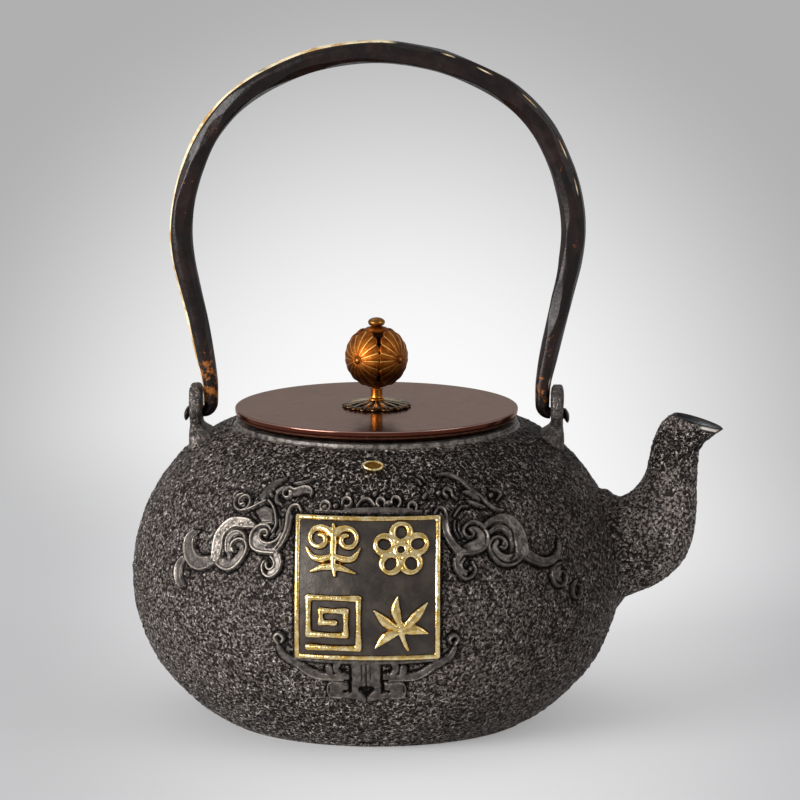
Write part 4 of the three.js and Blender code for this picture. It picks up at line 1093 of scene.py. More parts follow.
def ear(side, finish):
    """Lug with a waist, a rounded head and the hole for the bail's end, roughened as cast."""
    turn = full_turn(LUG_COLUMNS)
    across, along = (np.sign(t) * np.abs(t) ** LUG_SQUARENESS for t in (np.cos(turn), np.sin(turn)))
    rings = []
    for height, inner, outer, half in spaced(smooth_line(LUG, 12), LUG_ROWS):
        x = (inner + outer) / 2 + across * (outer - inner) / 2
        rings.append(np.stack([x, along * half, height + 0 * turn], 1))
    top = rings[-1]
    centre = top.mean(axis=0)
    for share, rise in ((0.85, 0.12), (0.5, 0.2), (0.03, 0.22)):
        rings.append(centre + (top - centre) * share + [0, 0, rise])
    faces = grid_faces(len(rings), LUG_COLUMNS).tolist() + [list(range(LUG_COLUMNS))[::-1]]
    block = built("lug_block", np.concatenate(rings) * [side, side, 1], faces)
    turn = full_turn(HOLE_COLUMNS)
    y, z = LUG_HOLE_RADIUS * np.cos(turn), HINGE_HEIGHT + LUG_HOLE_RADIUS * np.sin(turn) * side
    hole = np.concatenate([np.stack([x * side + 0 * turn, y, z], 1) for x in (52, 60.6, 65.8, 74)])
    cutter = built("lug_hole", hole, tube_faces(4, HOLE_COLUMNS))
    cut = block.modifiers.new("cut", "BOOLEAN")
    cut.operation = "DIFFERENCE"
    cut.solver = "EXACT"
    cut.object = cutter
    points, normals, faces = melted(block, LUG_VOXEL, 3)
    removed(cutter)
    in_hole = np.hypot(points[:, 1], points[:, 2] - HINGE_HEIGHT) < LUG_HOLE_RADIUS + 0.8
    points = points + normals * (LUG_GRAIN * (grain(points) + 0.2) * ~in_hole)[:, None]
    name, node = ("ear_spout_side", "lug_right") if side > 0 else ("ear_far_side", "lug_left")
    values = {"iron": np.full(len(points), 0.72), "high": np.full(len(points), 0.5)}
    make_piece(name, points, faces, finish, "kettle", (node,), values)


def bail_line():
    """Stations of the whole bail from tip to tip: [X, Z, thickness, width]."""
    pin = 2 * TRUNNION_RADIUS
    x, _, thick, wide = BAIL[0]
    stations = []
    for i in range(6):
        a = math.radians(90 - 18 * i)
        stations.append([
            x + ELBOW_RADIUS - ELBOW_RADIUS * math.cos(a),
            HINGE_HEIGHT + ELBOW_RADIUS - ELBOW_RADIUS * math.sin(a),
            pin + (thick - 0.2 - pin) * i / 5,
            pin + (wide - 0.4 - pin) * i / 5,
        ])
    half = np.array(stations + BAIL)
    return np.vstack([half, half[-2::-1] * [-1, 1, 1, 1]])


def bail_bar(finish):
    """Hammered bar with its turned-out ends."""
    line = spaced(smooth_line(bail_line(), 16), BAIL_ROWS)
    spout_side, far_side = ease(line[:, 0], 0, 30), ease(-line[:, 0], 0, 30)
    shoulder = np.exp(-(((line[:, 1] - 214) / 14) ** 2))
    haunch = np.exp(-(((line[:, 1] - 185) / 25) ** 2))
    line[:, 2] += spout_side * 0.6 * haunch - far_side * 0.3 * shoulder
    line[:, 0] += spout_side * (0.5 * haunch + 1.4 * shoulder) - far_side * 1.0 * shoulder
    line[:, 1] += (spout_side * 1.1 + far_side * 0.7) * shoulder
    walked = lengths_along(line[:, :2])
    way = unit(np.gradient(line[:, :2], walked, axis=0))
    turn = full_turn(BAIL_COLUMNS)
    grow = np.abs(np.cos(turn)) ** BAIL_SQUARENESS + np.abs(np.sin(turn)) ** BAIL_SQUARENESS
    circle = np.stack([np.cos(turn), np.sin(turn)], 1) / (grow ** (1 / BAIL_SQUARENESS))[:, None]
    out, across = hammered(circle[None] * (line[:, 2:] / 2)[:, None], walked).transpose(2, 0, 1)
    x, z = line[:, 0, None] + way[:, 1, None] * out, line[:, 1, None] - way[:, 0, None] * out
    bar = np.stack([x, across, z], -1)
    end = bail_end(1)[::-1]
    rows = np.concatenate([end, bar, bail_end(-1)])
    edge = np.zeros(rows.shape[:2])
    edge[len(end):len(end) + len(line)] = rubbed_and_glint(line, circle)
    make_piece("bail_bar", rows.reshape(-1, 3), grid_faces(len(rows), BAIL_COLUMNS), finish, "bail",
               ("bail_handle",), {"rubbed_and_glint": edge.ravel()})


# Streaks of gold on the spout's side, partly rubbing and partly painted highlight: height and reach.
STREAKS = ((230.6, 1), (225.5, 1.8), (215.5, 3), (200, 4.5), (187, 4), (119, 3))


def rubbed_and_glint(line, circle):
    """Share of pale gold, partly bared by rubbing and partly painted highlight: along the far side's outer
    edge, in streaks on the spout's side.
    """
    outer = ease(circle[:, 0], 0.8, 0.9) * ease(-line[:, 0, None], -14, 4)
    streaks = sum(np.exp(-(((line[:, 1, None] - z) / reach) ** 2)) for z, reach in STREAKS)
    front = np.exp(-(((circle[:, 0] - 0.74) / 0.07) ** 2)) * (circle[:, 1] < 0.2)
    return np.maximum(outer, 0.75 * front * streaks * (line[:, 0, None] > 8))


def hammered(spot, walked):
    """Flattens the bar's section by hammer marks scattered along it."""
    number = np.arange(HAMMER_MARKS)
    chance = [hashed(number, 0 * number + k, 0 * number, 61 + k) for k in range(4)]
    at = walked[-1] * (number + 0.8 * chance[0]) / HAMMER_MARKS
    heading = 2 * np.pi * chance[1] + number * 2.4
    length = 8 + 9 * chance[2]
    depth = 0.05 + 0.07 * chance[3]
    fade = ease(walked, 12, 24) * ease(walked[-1] - walked, 12, 24)
    for s, a, reach, bite in zip(at, heading, length, depth):
        rows = np.flatnonzero(np.abs(walked - s) < reach)
        facing = np.array([math.cos(a), math.sin(a)])
        size = np.abs(spot[rows] @ facing).max(axis=1)
        limit = size * (1 - bite * fade[rows] * (1 - ((walked[rows] - s) / reach) ** 2))
        over = np.maximum(spot[rows] @ facing - limit[:, None], 0)
        spot[rows] -= over[..., None] * facing
    return spot


def bail_end(side):
    """Rows from the elbow out through the lug to the spread tip."""
    pin, head = TRUNNION_RADIUS, HEAD_RADIUS
    stations = [(61.6, pin), (63.4, pin), (65.6, pin)]
    stations += [(HEAD_START + x, r) for x, r in ((0, 2.1), (0.3, head - 0.2), (0.7, head), (1.1, head - 0.1))]
    stations += [(TRUNNION_TIP + x, r) for x, r in ((-0.1, head - 0.5), (0.15, head * 0.5), (0.2, 0.05))]
    turn = full_turn(BAIL_COLUMNS)
    rows = []
    for x, radius in stations:
        wobble = 1 + 0.05 * np.sin(2 * turn + 0.4) * (radius > 2) + 0.03 * np.sin(5 * turn) * (radius > 2)
        bent = float(ease(x, HEAD_START - 0.5, TRUNNION_TIP))
        down = -radius * (1 - 0.25 * bent) * wobble * np.cos(turn) - TIP_DROP * bent
        rows.append(np.stack([x * side + 0 * turn, radius * wobble * np.sin(turn), HINGE_HEIGHT + down], 1))
    return np.array(rows)


# Lid and knob

def lid_top(finish):
    """Flat round lid with a bevelled underside and a softened upper edge."""
    rim = []
    for a in np.linspace(0, np.pi / 2, 9):
        r = LID_UNDERSIDE_RADIUS + (LID_RADIUS - LID_UNDERSIDE_RADIUS) * math.sin(a)
        rim.append([r, LID_UNDERSIDE + 0.4 + (LID_TOP - LID_UNDERSIDE - 1) * (1 - math.cos(a))])
    softened = ((0, 0.42), (0.05, 0.22), (0.2, 0.07), (0.42, 0))
    edge = [[LID_RADIUS - back, LID_TOP - down] for back, down in softened]
    top = [[r, LID_TOP - 0.03 + 0.03 * (r > 44)] for r in (48.6, 47, 40, 30, 20, 12, 6, 1.5)]
    profile = [[r, LID_UNDERSIDE] for r in (1.5, 20, 40, LID_UNDERSIDE_RADIUS - 0.5)]
    profile += [[LID_UNDERSIDE_RADIUS - 0.1, LID_UNDERSIDE + 0.15]] + rim + edge + top + profile[:1]
    points, faces = turned(profile, LID_COLUMNS)
    r, z = np.hypot(points[:, 0], points[:, 1]), points[:, 2]
    side = ease(r, LID_UNDERSIDE_RADIUS - 0.4, LID_UNDERSIDE_RADIUS + 0.2) * (z < LID_TOP - 0.05)
    rim = side * (0.2 + 0.8 * np.clip((z - LID_UNDERSIDE) / (LID_TOP - LID_UNDERSIDE), 0, 1))
    make_piece("lid_top", points, faces, finish, "lid", ("lid_plate",), {"rim": rim})


def band(inner, outer, low, high):
    """Corners of a plain ring's section."""
    return [[inner, low], [outer, low], [outer, high], [inner, high]]


def ring_piece(name, corners, radius, columns, finish, node):
    """Turned ring with rounded corners."""
    points, faces = turned(rounded(corners, radius), columns)
    make_piece(name, points, faces, finish, "lid", (node,))


def petal_washer(finish):
    """Chrysanthemum disc under the knob: a ring of ridged petals with notched tips."""
    turn = full_turn(FLOWER_PETALS * PETAL_COLUMNS)
    petal = np.abs(np.cos(turn * FLOWER_PETALS / 2))
    outline = FLOWER_RADIUS * (0.9 + 0.1 * petal**0.7)
    rows = [polar(1.6, turn, FLOWER_BOTTOM)]
    rows += [polar(outline * share, turn, FLOWER_BOTTOM) for share in (0.5, 0.9, 0.97)]
    for share, level in zip(np.linspace(1, 0.14, PETAL_ROWS), np.linspace(0, 1, PETAL_ROWS)):
        dome = 0.75 + 1.3 * level**0.8
        fade = (1 - level) ** 0.35 * math.sin(math.pi * min(1, 0.12 + share)) ** 0.5
        bulge = 0.95 * (petal**1.6 - 0.66) * fade
        vein = -0.2 * np.exp(-(((1 - petal) / 0.03) ** 2)) * (1 - level)
        edge_drop = -0.35 * math.exp(-((1 - share) / 0.03) ** 2)
        z = np.minimum(FLOWER_BOTTOM + dome + bulge + vein + edge_drop, FLOWER_TOP)
        rows.append(polar(outline * share + (1 - share) * FLOWER_RADIUS * 0.06, turn, z))
    rows.append(rows[0])
    points = np.concatenate(rows)
    # The high value drives the painted highlight on the petal ridges.
    high = np.clip((points[:, 2] - FLOWER_BOTTOM) / 2.2, 0, 1) * np.tile(petal, len(rows))
    make_piece("petal_washer", points, grid_faces(len(rows), len(turn)), finish, "lid",
               ("knob_flower_washer",), {"high": high})


def neck(finish):
    """Bright straight collar that carries the ball."""
    low, high, r = COLLAR_BOTTOM, BALL_CENTRE - BALL_RADIUS + 0.1, COLLAR_RADIUS
    corners = [[PIN_HOLE, low], [2.9, low], [2.8, low + 0.35], [r + 0.1, low + 0.8], [r, low + 1.4],
               [r, high - 0.35], [r + 0.5, high - 0.15], [r + 0.5, high], [PIN_HOLE, high]]
    ring_piece("knob_neck", corners, 0.25, COLLAR_COLUMNS, finish, "knob_collar")


def flower_ball(finish):
    """Hollow ball of four chrysanthemums that meet along their petal tips, pierced between the tips."""
    top = math.pi / 2 - BALL_POLE
    rise, turn = pairs(np.linspace(-top, top, BALL_ROWS), full_turn(BALL_COLUMNS))
    pitch = 2 * np.pi / BALL_FLOWERS
    sideways = (turn - BALL_FLOWER_TURN + pitch / 2) % pitch - pitch / 2
    away = polar(np.cos(rise), sideways, np.sin(rise))
    reach = np.degrees(np.arccos(np.clip(away[:, 0], -1, 1)))
    heading = np.arctan2(away[:, 2], np.abs(away[:, 1]))
    petal = np.abs(np.sin(heading * BALL_PETALS / 2))
    # The flower's edge lies along the seam to its neighbour, and far off towards the poles.
    edge = np.interp(np.abs(np.degrees(heading)), [0, 11, 34, 56, 79, 90], [47.4, 47.2, 49.4, 56.5, 64, 66])
    depth = edge * (0.91 + 0.09 * np.sqrt(petal)) - reach
    level = np.abs(np.degrees(rise))
    swell = np.sin(np.radians(np.minimum(reach, 60))) / 0.75
    radius = BALL_RADIUS - 0.5 + 0.42 * swell * petal**0.7 * ease(depth, -1.5, 4)
    seam = np.exp(-((petal / 0.3) ** 2)) * ease(reach, 6, 10) * ease(depth, -1, 2)
    radius += 0.22 * seam
    radius += 0.55 * np.exp(-((reach / 4.4) ** 2)) - 0.2 * np.exp(-(((reach - 7.2) / 1.4) ** 2))
    radius -= 0.8 * (1 - ease(depth, -2.4, 0.6))
    poles = ease(level, 60, 70)
    cap = BALL_RADIUS - 0.3 - 0.35 * np.exp(-(((level - 67) / 2.5) ** 2))
    radius = radius * (1 - poles) + cap * poles
    pierced = ease(-depth, 0.6, 2.6) * (1 - ease(level, 50, 54))
    direction = polar(np.cos(rise), turn, np.sin(rise))
    outer = direction * (np.minimum(radius, BALL_RADIUS) - 0.5 * pierced)[:, None]
    faces = grid_faces(BALL_ROWS, BALL_COLUMNS)
    faces = faces[~(pierced > 0.5)[faces].all(axis=1)]
    count = len(outer)
    rims = open_edges(faces)
    walls = np.stack([rims[:, 1], rims[:, 0], rims[:, 0] + count, rims[:, 1] + count], 1)
    # The high value drives painted highlight on the raised lines and painted shade round the piercings and
    # inside.
    high = ease(depth, -1.6, 0.8) * (0.35 + 0.25 * petal + 0.6 * seam) * (1 - poles) + 0.5 * poles
    high = np.where(reach < 8, 0.35 + 0.4 * ease(-reach, -5.5, -3), high)
    points = np.concatenate([outer, direction * BALL_HOLLOW])
    faces = np.concatenate([faces, faces[:, ::-1] + count, walls])
    values = {"high": np.concatenate([high, np.zeros(count)]), "level": np.concatenate([rise, rise])}
    points, faces, values = only_used(points, faces, values)
    points = points + [0, 0, BALL_CENTRE]
    make_piece("flower_ball", points, faces, finish, "knob", ("knob_ball",), values)


def open_edges(faces):
    """Edges used by one face only, in the order in which that face runs."""
    edges = np.concatenate([faces[:, [k, (k + 1) % 4]] for k in range(4)])
    key = np.sort(edges, axis=1)
    _, first, times = np.unique(key, axis=0, return_index=True, return_counts=True)
    return edges[first[times == 1]]


def bud_and_rod(finish):
    """Flattened bud sitting on top of the ball, and the rod that runs down from it."""
    under = BALL_CENTRE + BALL_RADIUS - 0.12
    dome = [[BUD_RADIUS * math.cos(a), under + 1.15 + (BUD_TOP - under - 1.15) * math.sin(a)]
            for a in np.linspace(0.05, math.pi / 2 - 0.02, 14)]
    profile = [[0.05, ROD_BOTTOM], [ROD_RADIUS - 0.2, ROD_BOTTOM], [ROD_RADIUS, ROD_BOTTOM + 0.3],
               [ROD_RADIUS, ROD_AT_WASHER], [ROD_RADIUS, under - 0.1], [BUD_RADIUS - 0.9, under],
               [BUD_RADIUS - 0.45, under + 0.2], [BUD_RADIUS - 0.12, under + 0.65]]
    points, faces = turned(profile + dome, BUD_COLUMNS)
    make_piece("bud_and_rod", points, faces, finish, "lid", ("knob_rod",))


def hex_nut(finish):
    """Nut under the lid, its corners turned off."""
    low, top = NUT_BOTTOM, UNDER_WASHER_BOTTOM - 0.3
    turn = full_turn(NUT_COLUMNS)
    across = NUT_ACROSS / 2 / np.cos((turn + np.pi / 6) % (np.pi / 3) - np.pi / 6)
    rows = [polar(np.minimum(across, limit), turn, z) for limit, z in (
        (1.25, low), (2.5, low), (2.75, low + 0.12), (3.2, low + 0.45), (3.2, top - 0.45), (2.75, top - 0.1),
        (1.25, top), (1.25, low))]
    faces = grid_faces(len(rows), NUT_COLUMNS)
    make_piece("hex_nut", np.concatenate(rows), faces, finish, "lid", ("knob_nut",))


# Finishes

def paint(code):
    """Colour written as #rrggbb, as the shader takes it."""
    parts = [int(code[k:k + 2], 16) / 255 for k in (1, 3, 5)]
    linear = [p / 12.92 if p <= 0.04045 else ((p + 0.055) / 1.055) ** 2.4 for p in parts]
    return (*linear, 1.0)


class Finish:
    """Node tree of one material."""

    def __init__(self, name, tree=None, place="Object"):
        if not tree:
            self.material = bpy.data.materials.new(name)
            self.material.use_nodes = True
            tree = self.material.node_tree
        self.tree = tree
        tree.nodes.clear()
        self.place = self.node("ShaderNodeTexCoord").outputs[place]

    def node(self, kind, inputs=None, **settings):
        """A new node. `inputs` are numbers, colours or outputs of other nodes."""
        made = self.tree.nodes.new(kind)
        for name, value in settings.items():
            setattr(made, name, value)
        for name, value in (inputs or {}).items():
            self.feed(made.inputs[name], value)
        return made

    def feed(self, socket, value):
        """Links or sets a socket. A colour is written as #rrggbb."""
        if isinstance(value, bpy.types.NodeSocket):
            self.tree.links.new(value, socket)
        else:
            socket.default_value = paint(value) if isinstance(value, str) else value

    def noise(self, size, detail=3.0, rough=0.55):
        """Cloudy noise with blotches of about `size` millimetres."""
        inputs = {"Vector": self.place, "Scale": 1 / (size * MM), "Detail": detail, "Roughness": rough}
        return self.node("ShaderNodeTexNoise", inputs).outputs["Fac"]

    def cells(self, size):
        """Distance from scattered points about `size` millimetres apart."""
        inputs = {"Vector": self.place, "Scale": 1 / (size * MM)}
        return self.node("ShaderNodeTexVoronoi", inputs).outputs["Distance"]

    def value(self, name):
        """A number that the mesh carries."""
        return self.node("ShaderNodeAttribute", attribute_name=name).outputs["Fac"]

    def remap(self, value, low, high, out_low=0.0, out_high=1.0):
        """Eases from `out_low` to `out_high` while the value goes from `low` to `high`."""
        inputs = {"Value": value, "From Min": low, "From Max": high, "To Min": out_low, "To Max": out_high}
        return self.node("ShaderNodeMapRange", inputs, interpolation_type="SMOOTHSTEP").outputs[0]

    def math(self, operation, a, b):
        made = self.node("ShaderNodeMath", operation=operation)
        self.feed(made.inputs[0], a)
        self.feed(made.inputs[1], b)
        return made.outputs[0]

    def vector(self, operation, *values):
        return self.node("ShaderNodeVectorMath", dict(enumerate(values)), operation=operation).outputs

    def times(self, a, b):
        return self.math("MULTIPLY", a, b)

    def plus(self, a, b):
        return self.math("ADD", a, b)

    def axes(self):
        """X, Y and Z of the place."""
        return self.node("ShaderNodeSeparateXYZ", {0: self.place}).outputs[:3]

    def gloss(self, size, low, high):
        """Roughness that wanders between two values."""
        return self.remap(self.noise(size, 3), 0.3, 0.7, low, high)

    def blend(self, factor, a, b):
        """Colour `a` where the factor is 0 and `b` where it is 1."""
        made = self.node("ShaderNodeMix", data_type="RGBA")
        for index, value in ((0, factor), (6, a), (7, b)):
            self.feed(made.inputs[index], value)
        return made.outputs[2]

    def done(self, colour, metallic, roughness, height, depth, **sockets):
        """The material, with a bump as deep as `depth` millimetres where the height runs from 0 to 1."""
        bump = self.node("ShaderNodeBump", {"Height": height, "Distance": depth * MM, "Strength": 1.0})
        inputs = {"Base Color": colour, "Metallic": metallic, "Roughness": roughness, "Normal": bump.outputs[0]}
        inputs.update({name.replace("_", " "): value for name, value in sockets.items()})
        shader = self.node("ShaderNodeBsdfPrincipled", inputs)
        self.node("ShaderNodeOutputMaterial", {"Surface": shader.outputs[0]})
        return self.material


def cast_iron():
    """Dark iron with a wrinkled skin, its ridges flecked pale as painted highlights, with painted shade in its
    hollows and on parts of the belly; smooth where the mesh says iron is 1.
    """
    f = Finish("cast_iron")
    iron, high, shade = f.value("iron"), f.value("high"), f.value("shade")
    broad = f.remap(f.noise(38, 3), 0.3, 0.7)
    base = f.blend(broad, "#625a56", "#766c67")
    warm = f.remap(f.noise(9, 4, 0.6), 0.45, 0.75, 0, 0.6)
    base = f.blend(warm, base, "#5e5049")
    # Painted light: paler where the mesh's pale value is high, along one side of the spout.
    base = f.blend(f.value("pale"), base, "#a1968e")
    sideways, _, level = f.axes()
    # Painted shade: darker on the upper shoulder (less on the far side), on the spout's side of the front and
    # low down near the base.
    painted_shade = f.times(f.remap(level, 0.079, 0.095), f.remap(level, 0.101, 0.106, 0.85, 0.0))
    painted_shade = f.times(painted_shade, f.remap(sideways, -0.06, -0.02, 0.25, 1.0))
    shaded_flank = f.times(f.remap(sideways, 0.042, 0.062), f.remap(sideways, 0.08, 0.09, 0.45, 0.0))
    painted_shade = f.math("MAXIMUM", painted_shade, f.math("MAXIMUM", shaded_flank, f.remap(level, 0.01, 0.034, 0.5, 0.0)))
    base = f.blend(painted_shade, base, "#1f1a18")
    middle = f.math("ABSOLUTE", f.math("SUBTRACT", f.noise(1.75, 1.8, 0.5), 0.5), 0.0)
    vein = f.remap(middle, 0.0, 0.05, 1.0, 0.0)
    bead = f.remap(f.cells(1.3), 0.15, 0.85, 1.0, 0.0)
    fine = f.noise(0.65, 3, 0.6)
    lump = f.plus(f.times(vein, 0.6), f.times(fine, 0.55))
    lump = f.plus(lump, f.times(bead, 0.4))
    # Painted highlights: pale flecks on the high places of the lump texture, fewer on the spout's side of the
    # front.
    faint = f.times(f.remap(sideways, 0.0, 0.05), f.remap(sideways, 0.08, 0.09, 0.42, 0.0))
    highlight_specks = f.times(f.remap(lump, 0.76, 1.06, 0, 0.95), f.math("SUBTRACT", 1.0, faint))
    base = f.blend(highlight_specks, base, "#dcd3ca")
    # Painted shade: near-black in the low places of the lump texture.
    base = f.blend(f.remap(lump, 0.4, 0.66, 0.92, 0), base, "#110d0c")
    smooth = f.blend(f.remap(f.noise(2.6, 4, 0.65), 0.38, 0.65), "#46413e", "#6e6762")
    # Painted highlight, with some wear, on the highest parts of the smooth iron, and painted shade, near-black,
    # on its low parts.
    smooth = f.blend(f.remap(high, 0.55, 1.0, 0, 0.8), smooth, "#a89e93")
    smooth = f.blend(f.remap(high, 0.0, 0.4, 0.85, 0), smooth, "#171413")
    colour = f.blend(iron, base, smooth)
    colour = f.blend(f.times(shade, 0.95), colour, "#0c0a09")
    # Painted light: pale blue-grey just inside the spout's lip.
    colour = f.blend(f.value("inside"), colour, "#8b9096")
    # Painted highlight: near-white where the mesh's glint value is high, under the spout's lip.
    colour = f.blend(f.value("glint"), colour, "#fff6ea")
    rough = f.gloss(2.2, 0.27, 0.4)
    relief = f.times(lump, f.remap(iron, 0, 1, 1.0, 0.08))
    return f.done(colour, 0.7, rough, relief, 1.0, Specular_Tint="#a8a4a2")


def plain_iron(name, low, high, roughness, depth, metallic=0.55, size=7):
    """Smooth iron with cloudiness of about `size` millimetres."""
    f = Finish(name)
    colour = f.blend(f.remap(f.noise(size, 4, 0.6), 0.35, 0.68), low, high)
    grit = f.plus(f.noise(0.8, 3, 0.6), f.times(f.noise(3.2, 2), 1.2))
    rough = f.gloss(2.4, roughness - 0.06, roughness + 0.08)
    return f.done(colour, metallic, rough, grit, depth)


def gilt():
    """Gold laid over cast metal, its tone wandering from gold to pale, and dark brown low down as painted shade
    in the hollows.
    """
    f = Finish("gilt")
    high = f.value("high")
    tone = f.remap(f.noise(2.2, 4, 0.6), 0.35, 0.68)
    colour = f.blend(tone, "#d6b160", "#f8e6b4")
    # Painted shade: dark brown where the mesh's high value is low, in the hollows and along the foot of each
    # piece.
    colour = f.blend(f.remap(high, 0.5, 0.95), "#6e4a16", colour)
    brown = f.remap(f.noise(1.0, 3, 0.65), 0.6, 0.76, 0, 0.6)
    colour = f.blend(brown, colour, "#5f3f14")
    rough = f.gloss(0.9, 0.14, 0.3)
    return f.done(colour, 1.0, rough, f.noise(0.8, 3, 0.55), 0.12)


def lid_bronze():
    """Dark brown patinated bronze, glossy on top, with a red-brown rim painted darker towards its lower edge as
    shade, a painted copper highlight line along it and a painted pale highlight along its upper edge.
    """
    f = Finish("lid_bronze")
    rim = f.value("rim")
    colour = f.blend(f.remap(f.noise(16, 4, 0.6), 0.3, 0.72), "#533b32", "#634a40")
    colour = f.blend(f.remap(f.noise(1.6, 3), 0.62, 0.8, 0, 0.2), colour, "#7d5b4a")
    # Painted shade: the rim's side is darker towards its lower edge.
    side = f.blend(f.remap(rim, 0.35, 0.8), "#34160f", "#5a2e22")
    # Painted highlight: a copper-coloured line along the middle of the rim's side.
    off_line = f.math("ABSOLUTE", f.math("SUBTRACT", rim, 0.54), 0.0)
    side = f.blend(f.remap(off_line, 0.02, 0.08, 0.85, 0.0), side, "#ae7a64")
    # Painted highlight: a pale band along the rim's upper edge.
    side = f.blend(f.remap(rim, 0.9, 0.97, 0.0, 0.85), side, "#b89a8e")
    colour = f.blend(f.remap(rim, 0.05, 0.15), colour, side)
    rough = f.gloss(3, 0.14, 0.2)
    return f.done(colour, 0.9, rough, f.noise(0.7, 3, 0.6), 0.01, Specular_Tint="#f6e0d4")


def knob_gold():
    """Golden bronze with pale lines between the petals as painted highlights, painted shade round the
    piercings, and darkening downwards to red-brown as painted shade.
    """
    f = Finish("knob_gold")
    high, level = f.value("high"), f.value("level")
    tone = f.remap(f.noise(2.2, 4, 0.6), 0.35, 0.7)
    body = f.blend(tone, "#7e3c10", "#a45f1e")
    # Painted highlight: pale along the raised lines between the petals and at the flowers' middles.
    colour = f.blend(f.remap(high, 0.62, 0.95), body, "#eebb68")
    # Painted shade: near-black where the mesh's high value is low, round the piercings and on the hollow
    # inside.
    colour = f.blend(f.remap(high, 0.1, 0.5), "#241006", colour)
    # Painted shade: darker towards the bottom of the ball.
    colour = f.blend(f.remap(level, -0.75, 0.35, 0.8, 0.0), colour, "#351406")
    rough = f.gloss(0.8, 0.42, 0.56)
    return f.done(colour, 1.0, rough, f.noise(0.5, 3, 0.6), 0.05)


def bright_bronze(name, low, high):
    """Copper-orange bronze."""
    f = Finish(name)
    tone = f.remap(f.noise(1.8, 4, 0.6), 0.35, 0.7)
    colour = f.blend(tone, low, high)
    colour = f.blend(f.remap(f.noise(0.9, 3, 0.65), 0.64, 0.8, 0, 0.5), colour, "#5e300f")
    rough = f.gloss(0.8, 0.22, 0.36)
    return f.done(colour, 1.0, rough, f.noise(0.5, 3, 0.6), 0.05)


def antique_bronze():
    """Near-black bronze with gold in it and silvery ridges, the silver a painted highlight."""
    f = Finish("antique_bronze")
    high = f.value("high")
    dark = f.blend(f.remap(f.noise(1.8, 4), 0.4, 0.62), "#1b120d", "#6e4a22")
    # Painted highlight: silvery pale on the higher parts of the petal ridges.
    colour = f.blend(f.remap(high, 0.3, 0.8), dark, "#d6c6a4")
    rough = f.gloss(0.8, 0.14, 0.28)
    return f.done(colour, 0.95, rough, f.noise(0.5, 3, 0.6), 0.05)


def lacquer():
    """Near-black lacquer on the bail, bared to pale gold on its edges by rubbing and painted there as a
    highlight as well, and to orange in patches.
    """
    f = Finish("bail_lacquer")
    gold_and_glint = f.value("rubbed_and_glint")
    colour = f.blend(f.remap(f.noise(9, 4, 0.6), 0.35, 0.7), "#0d0504", "#21120f")
    sideways, _, height = f.axes()
    low = f.times(f.remap(height, 0.112, 0.145), f.remap(sideways, -0.05, 0.05, -0.2, -0.1))
    low = f.plus(low, f.remap(sideways, -0.05, 0.05, 0.2, 0.1))
    speck = f.remap(f.plus(f.noise(2.4, 5, 0.72), low), 0.64, 0.74)
    patch = f.times(speck, f.remap(f.plus(f.noise(26, 2), low), 0.45, 0.6))
    patch = f.times(patch, f.remap(height, 0.1105, 0.1125, 0.0, 0.85))
    colour = f.blend(patch, colour, "#9a5a1e")
    broken = f.remap(f.noise(7, 4, 0.62), 0.3, 0.45, 0.35, 1.0)
    gold_and_glint = f.times(f.remap(gold_and_glint, 0.3, 0.7), broken)
    gold = f.blend(f.remap(f.noise(5, 3, 0.6), 0.36, 0.56), "#b98d4e", "#e9d9b0")
    # Gold where the bail is bared by rubbing, and painted highlight along the far side's outer edge and in the
    # streaks.
    colour = f.blend(gold_and_glint, colour, gold)
    rough = f.gloss(2.6, 0.26, 0.4)
    return f.done(colour, 0.15, rough, f.noise(1.6, 4, 0.6), 0.09, Specular_IOR_Level=0.36)


# Stage

ELEVATION = math.radians(10.24)
AZIMUTH = math.radians(2)
DISTANCE = 2000.0
LENS = 257.1
AIM_SIDEWAYS = 8.2
AIM_HEIGHT = 111.68

# The glow behind the kettle: how wide it is and how far below the middle of the view, in degrees.
GLOW_CORE = 1.0
GLOW_EDGE = 5.4
GLOW_DROP = 0.8
GLOW = "#fafafa"
SURROUNDING = "#b0b0b1"
WORLD_LIGHT = 1.0
FLOOR_GLOW_BEHIND = 510
FLOOR_GLOW_SIDE = 26
FLOOR_NEAR = "#ffffff"
FLOOR_FAR = "#c3c3c4"
FLOOR_OWN_LIGHT = 0.35
FLOOR_RADIUS = 900
FLOOR_RINGS = 24
FLOOR_COLUMNS = 96


def camera():
    """The photograph's view."""
    data = bpy.data.cameras.new("camera")
    data.lens = LENS
    data.sensor_width = 36
    data.clip_end = 30
    made = linked("camera", data)
    right = Vector((math.cos(AZIMUTH), math.sin(AZIMUTH), 0))
    back = Vector((math.sin(AZIMUTH) * math.cos(ELEVATION), -math.cos(AZIMUTH) * math.cos(ELEVATION),
                   math.sin(ELEVATION)))
    aim = right * AIM_SIDEWAYS + Vector((0, 0, AIM_HEIGHT))
    made.location = (aim + back * DISTANCE) * MM
    made.rotation_euler = (-back).to_track_quat("-Z", "Y").to_euler()
    bpy.context.scene.camera = made
    return back


def softbox(name, place, size, power, aim=(0, 0, 0.09)):
    """Square soft light at a place in metres, facing the kettle."""
    data = bpy.data.lights.new(name, "AREA")
    data.shape = "RECTANGLE"
    data.size, data.size_y = size
    data.energy = power
    lamp = linked(name, data)
    lamp.location = place
    lamp.rotation_euler = (Vector(aim) - Vector(place)).to_track_quat("-Z", "Y").to_euler()


def glow_share(f, angle):
    """1 at the middle of the pale glow and 0 where it has faded out, from the angle away from it in radians."""
    return f.remap(angle, math.radians(GLOW_CORE), math.radians(GLOW_EDGE), 1.0, 0.0)


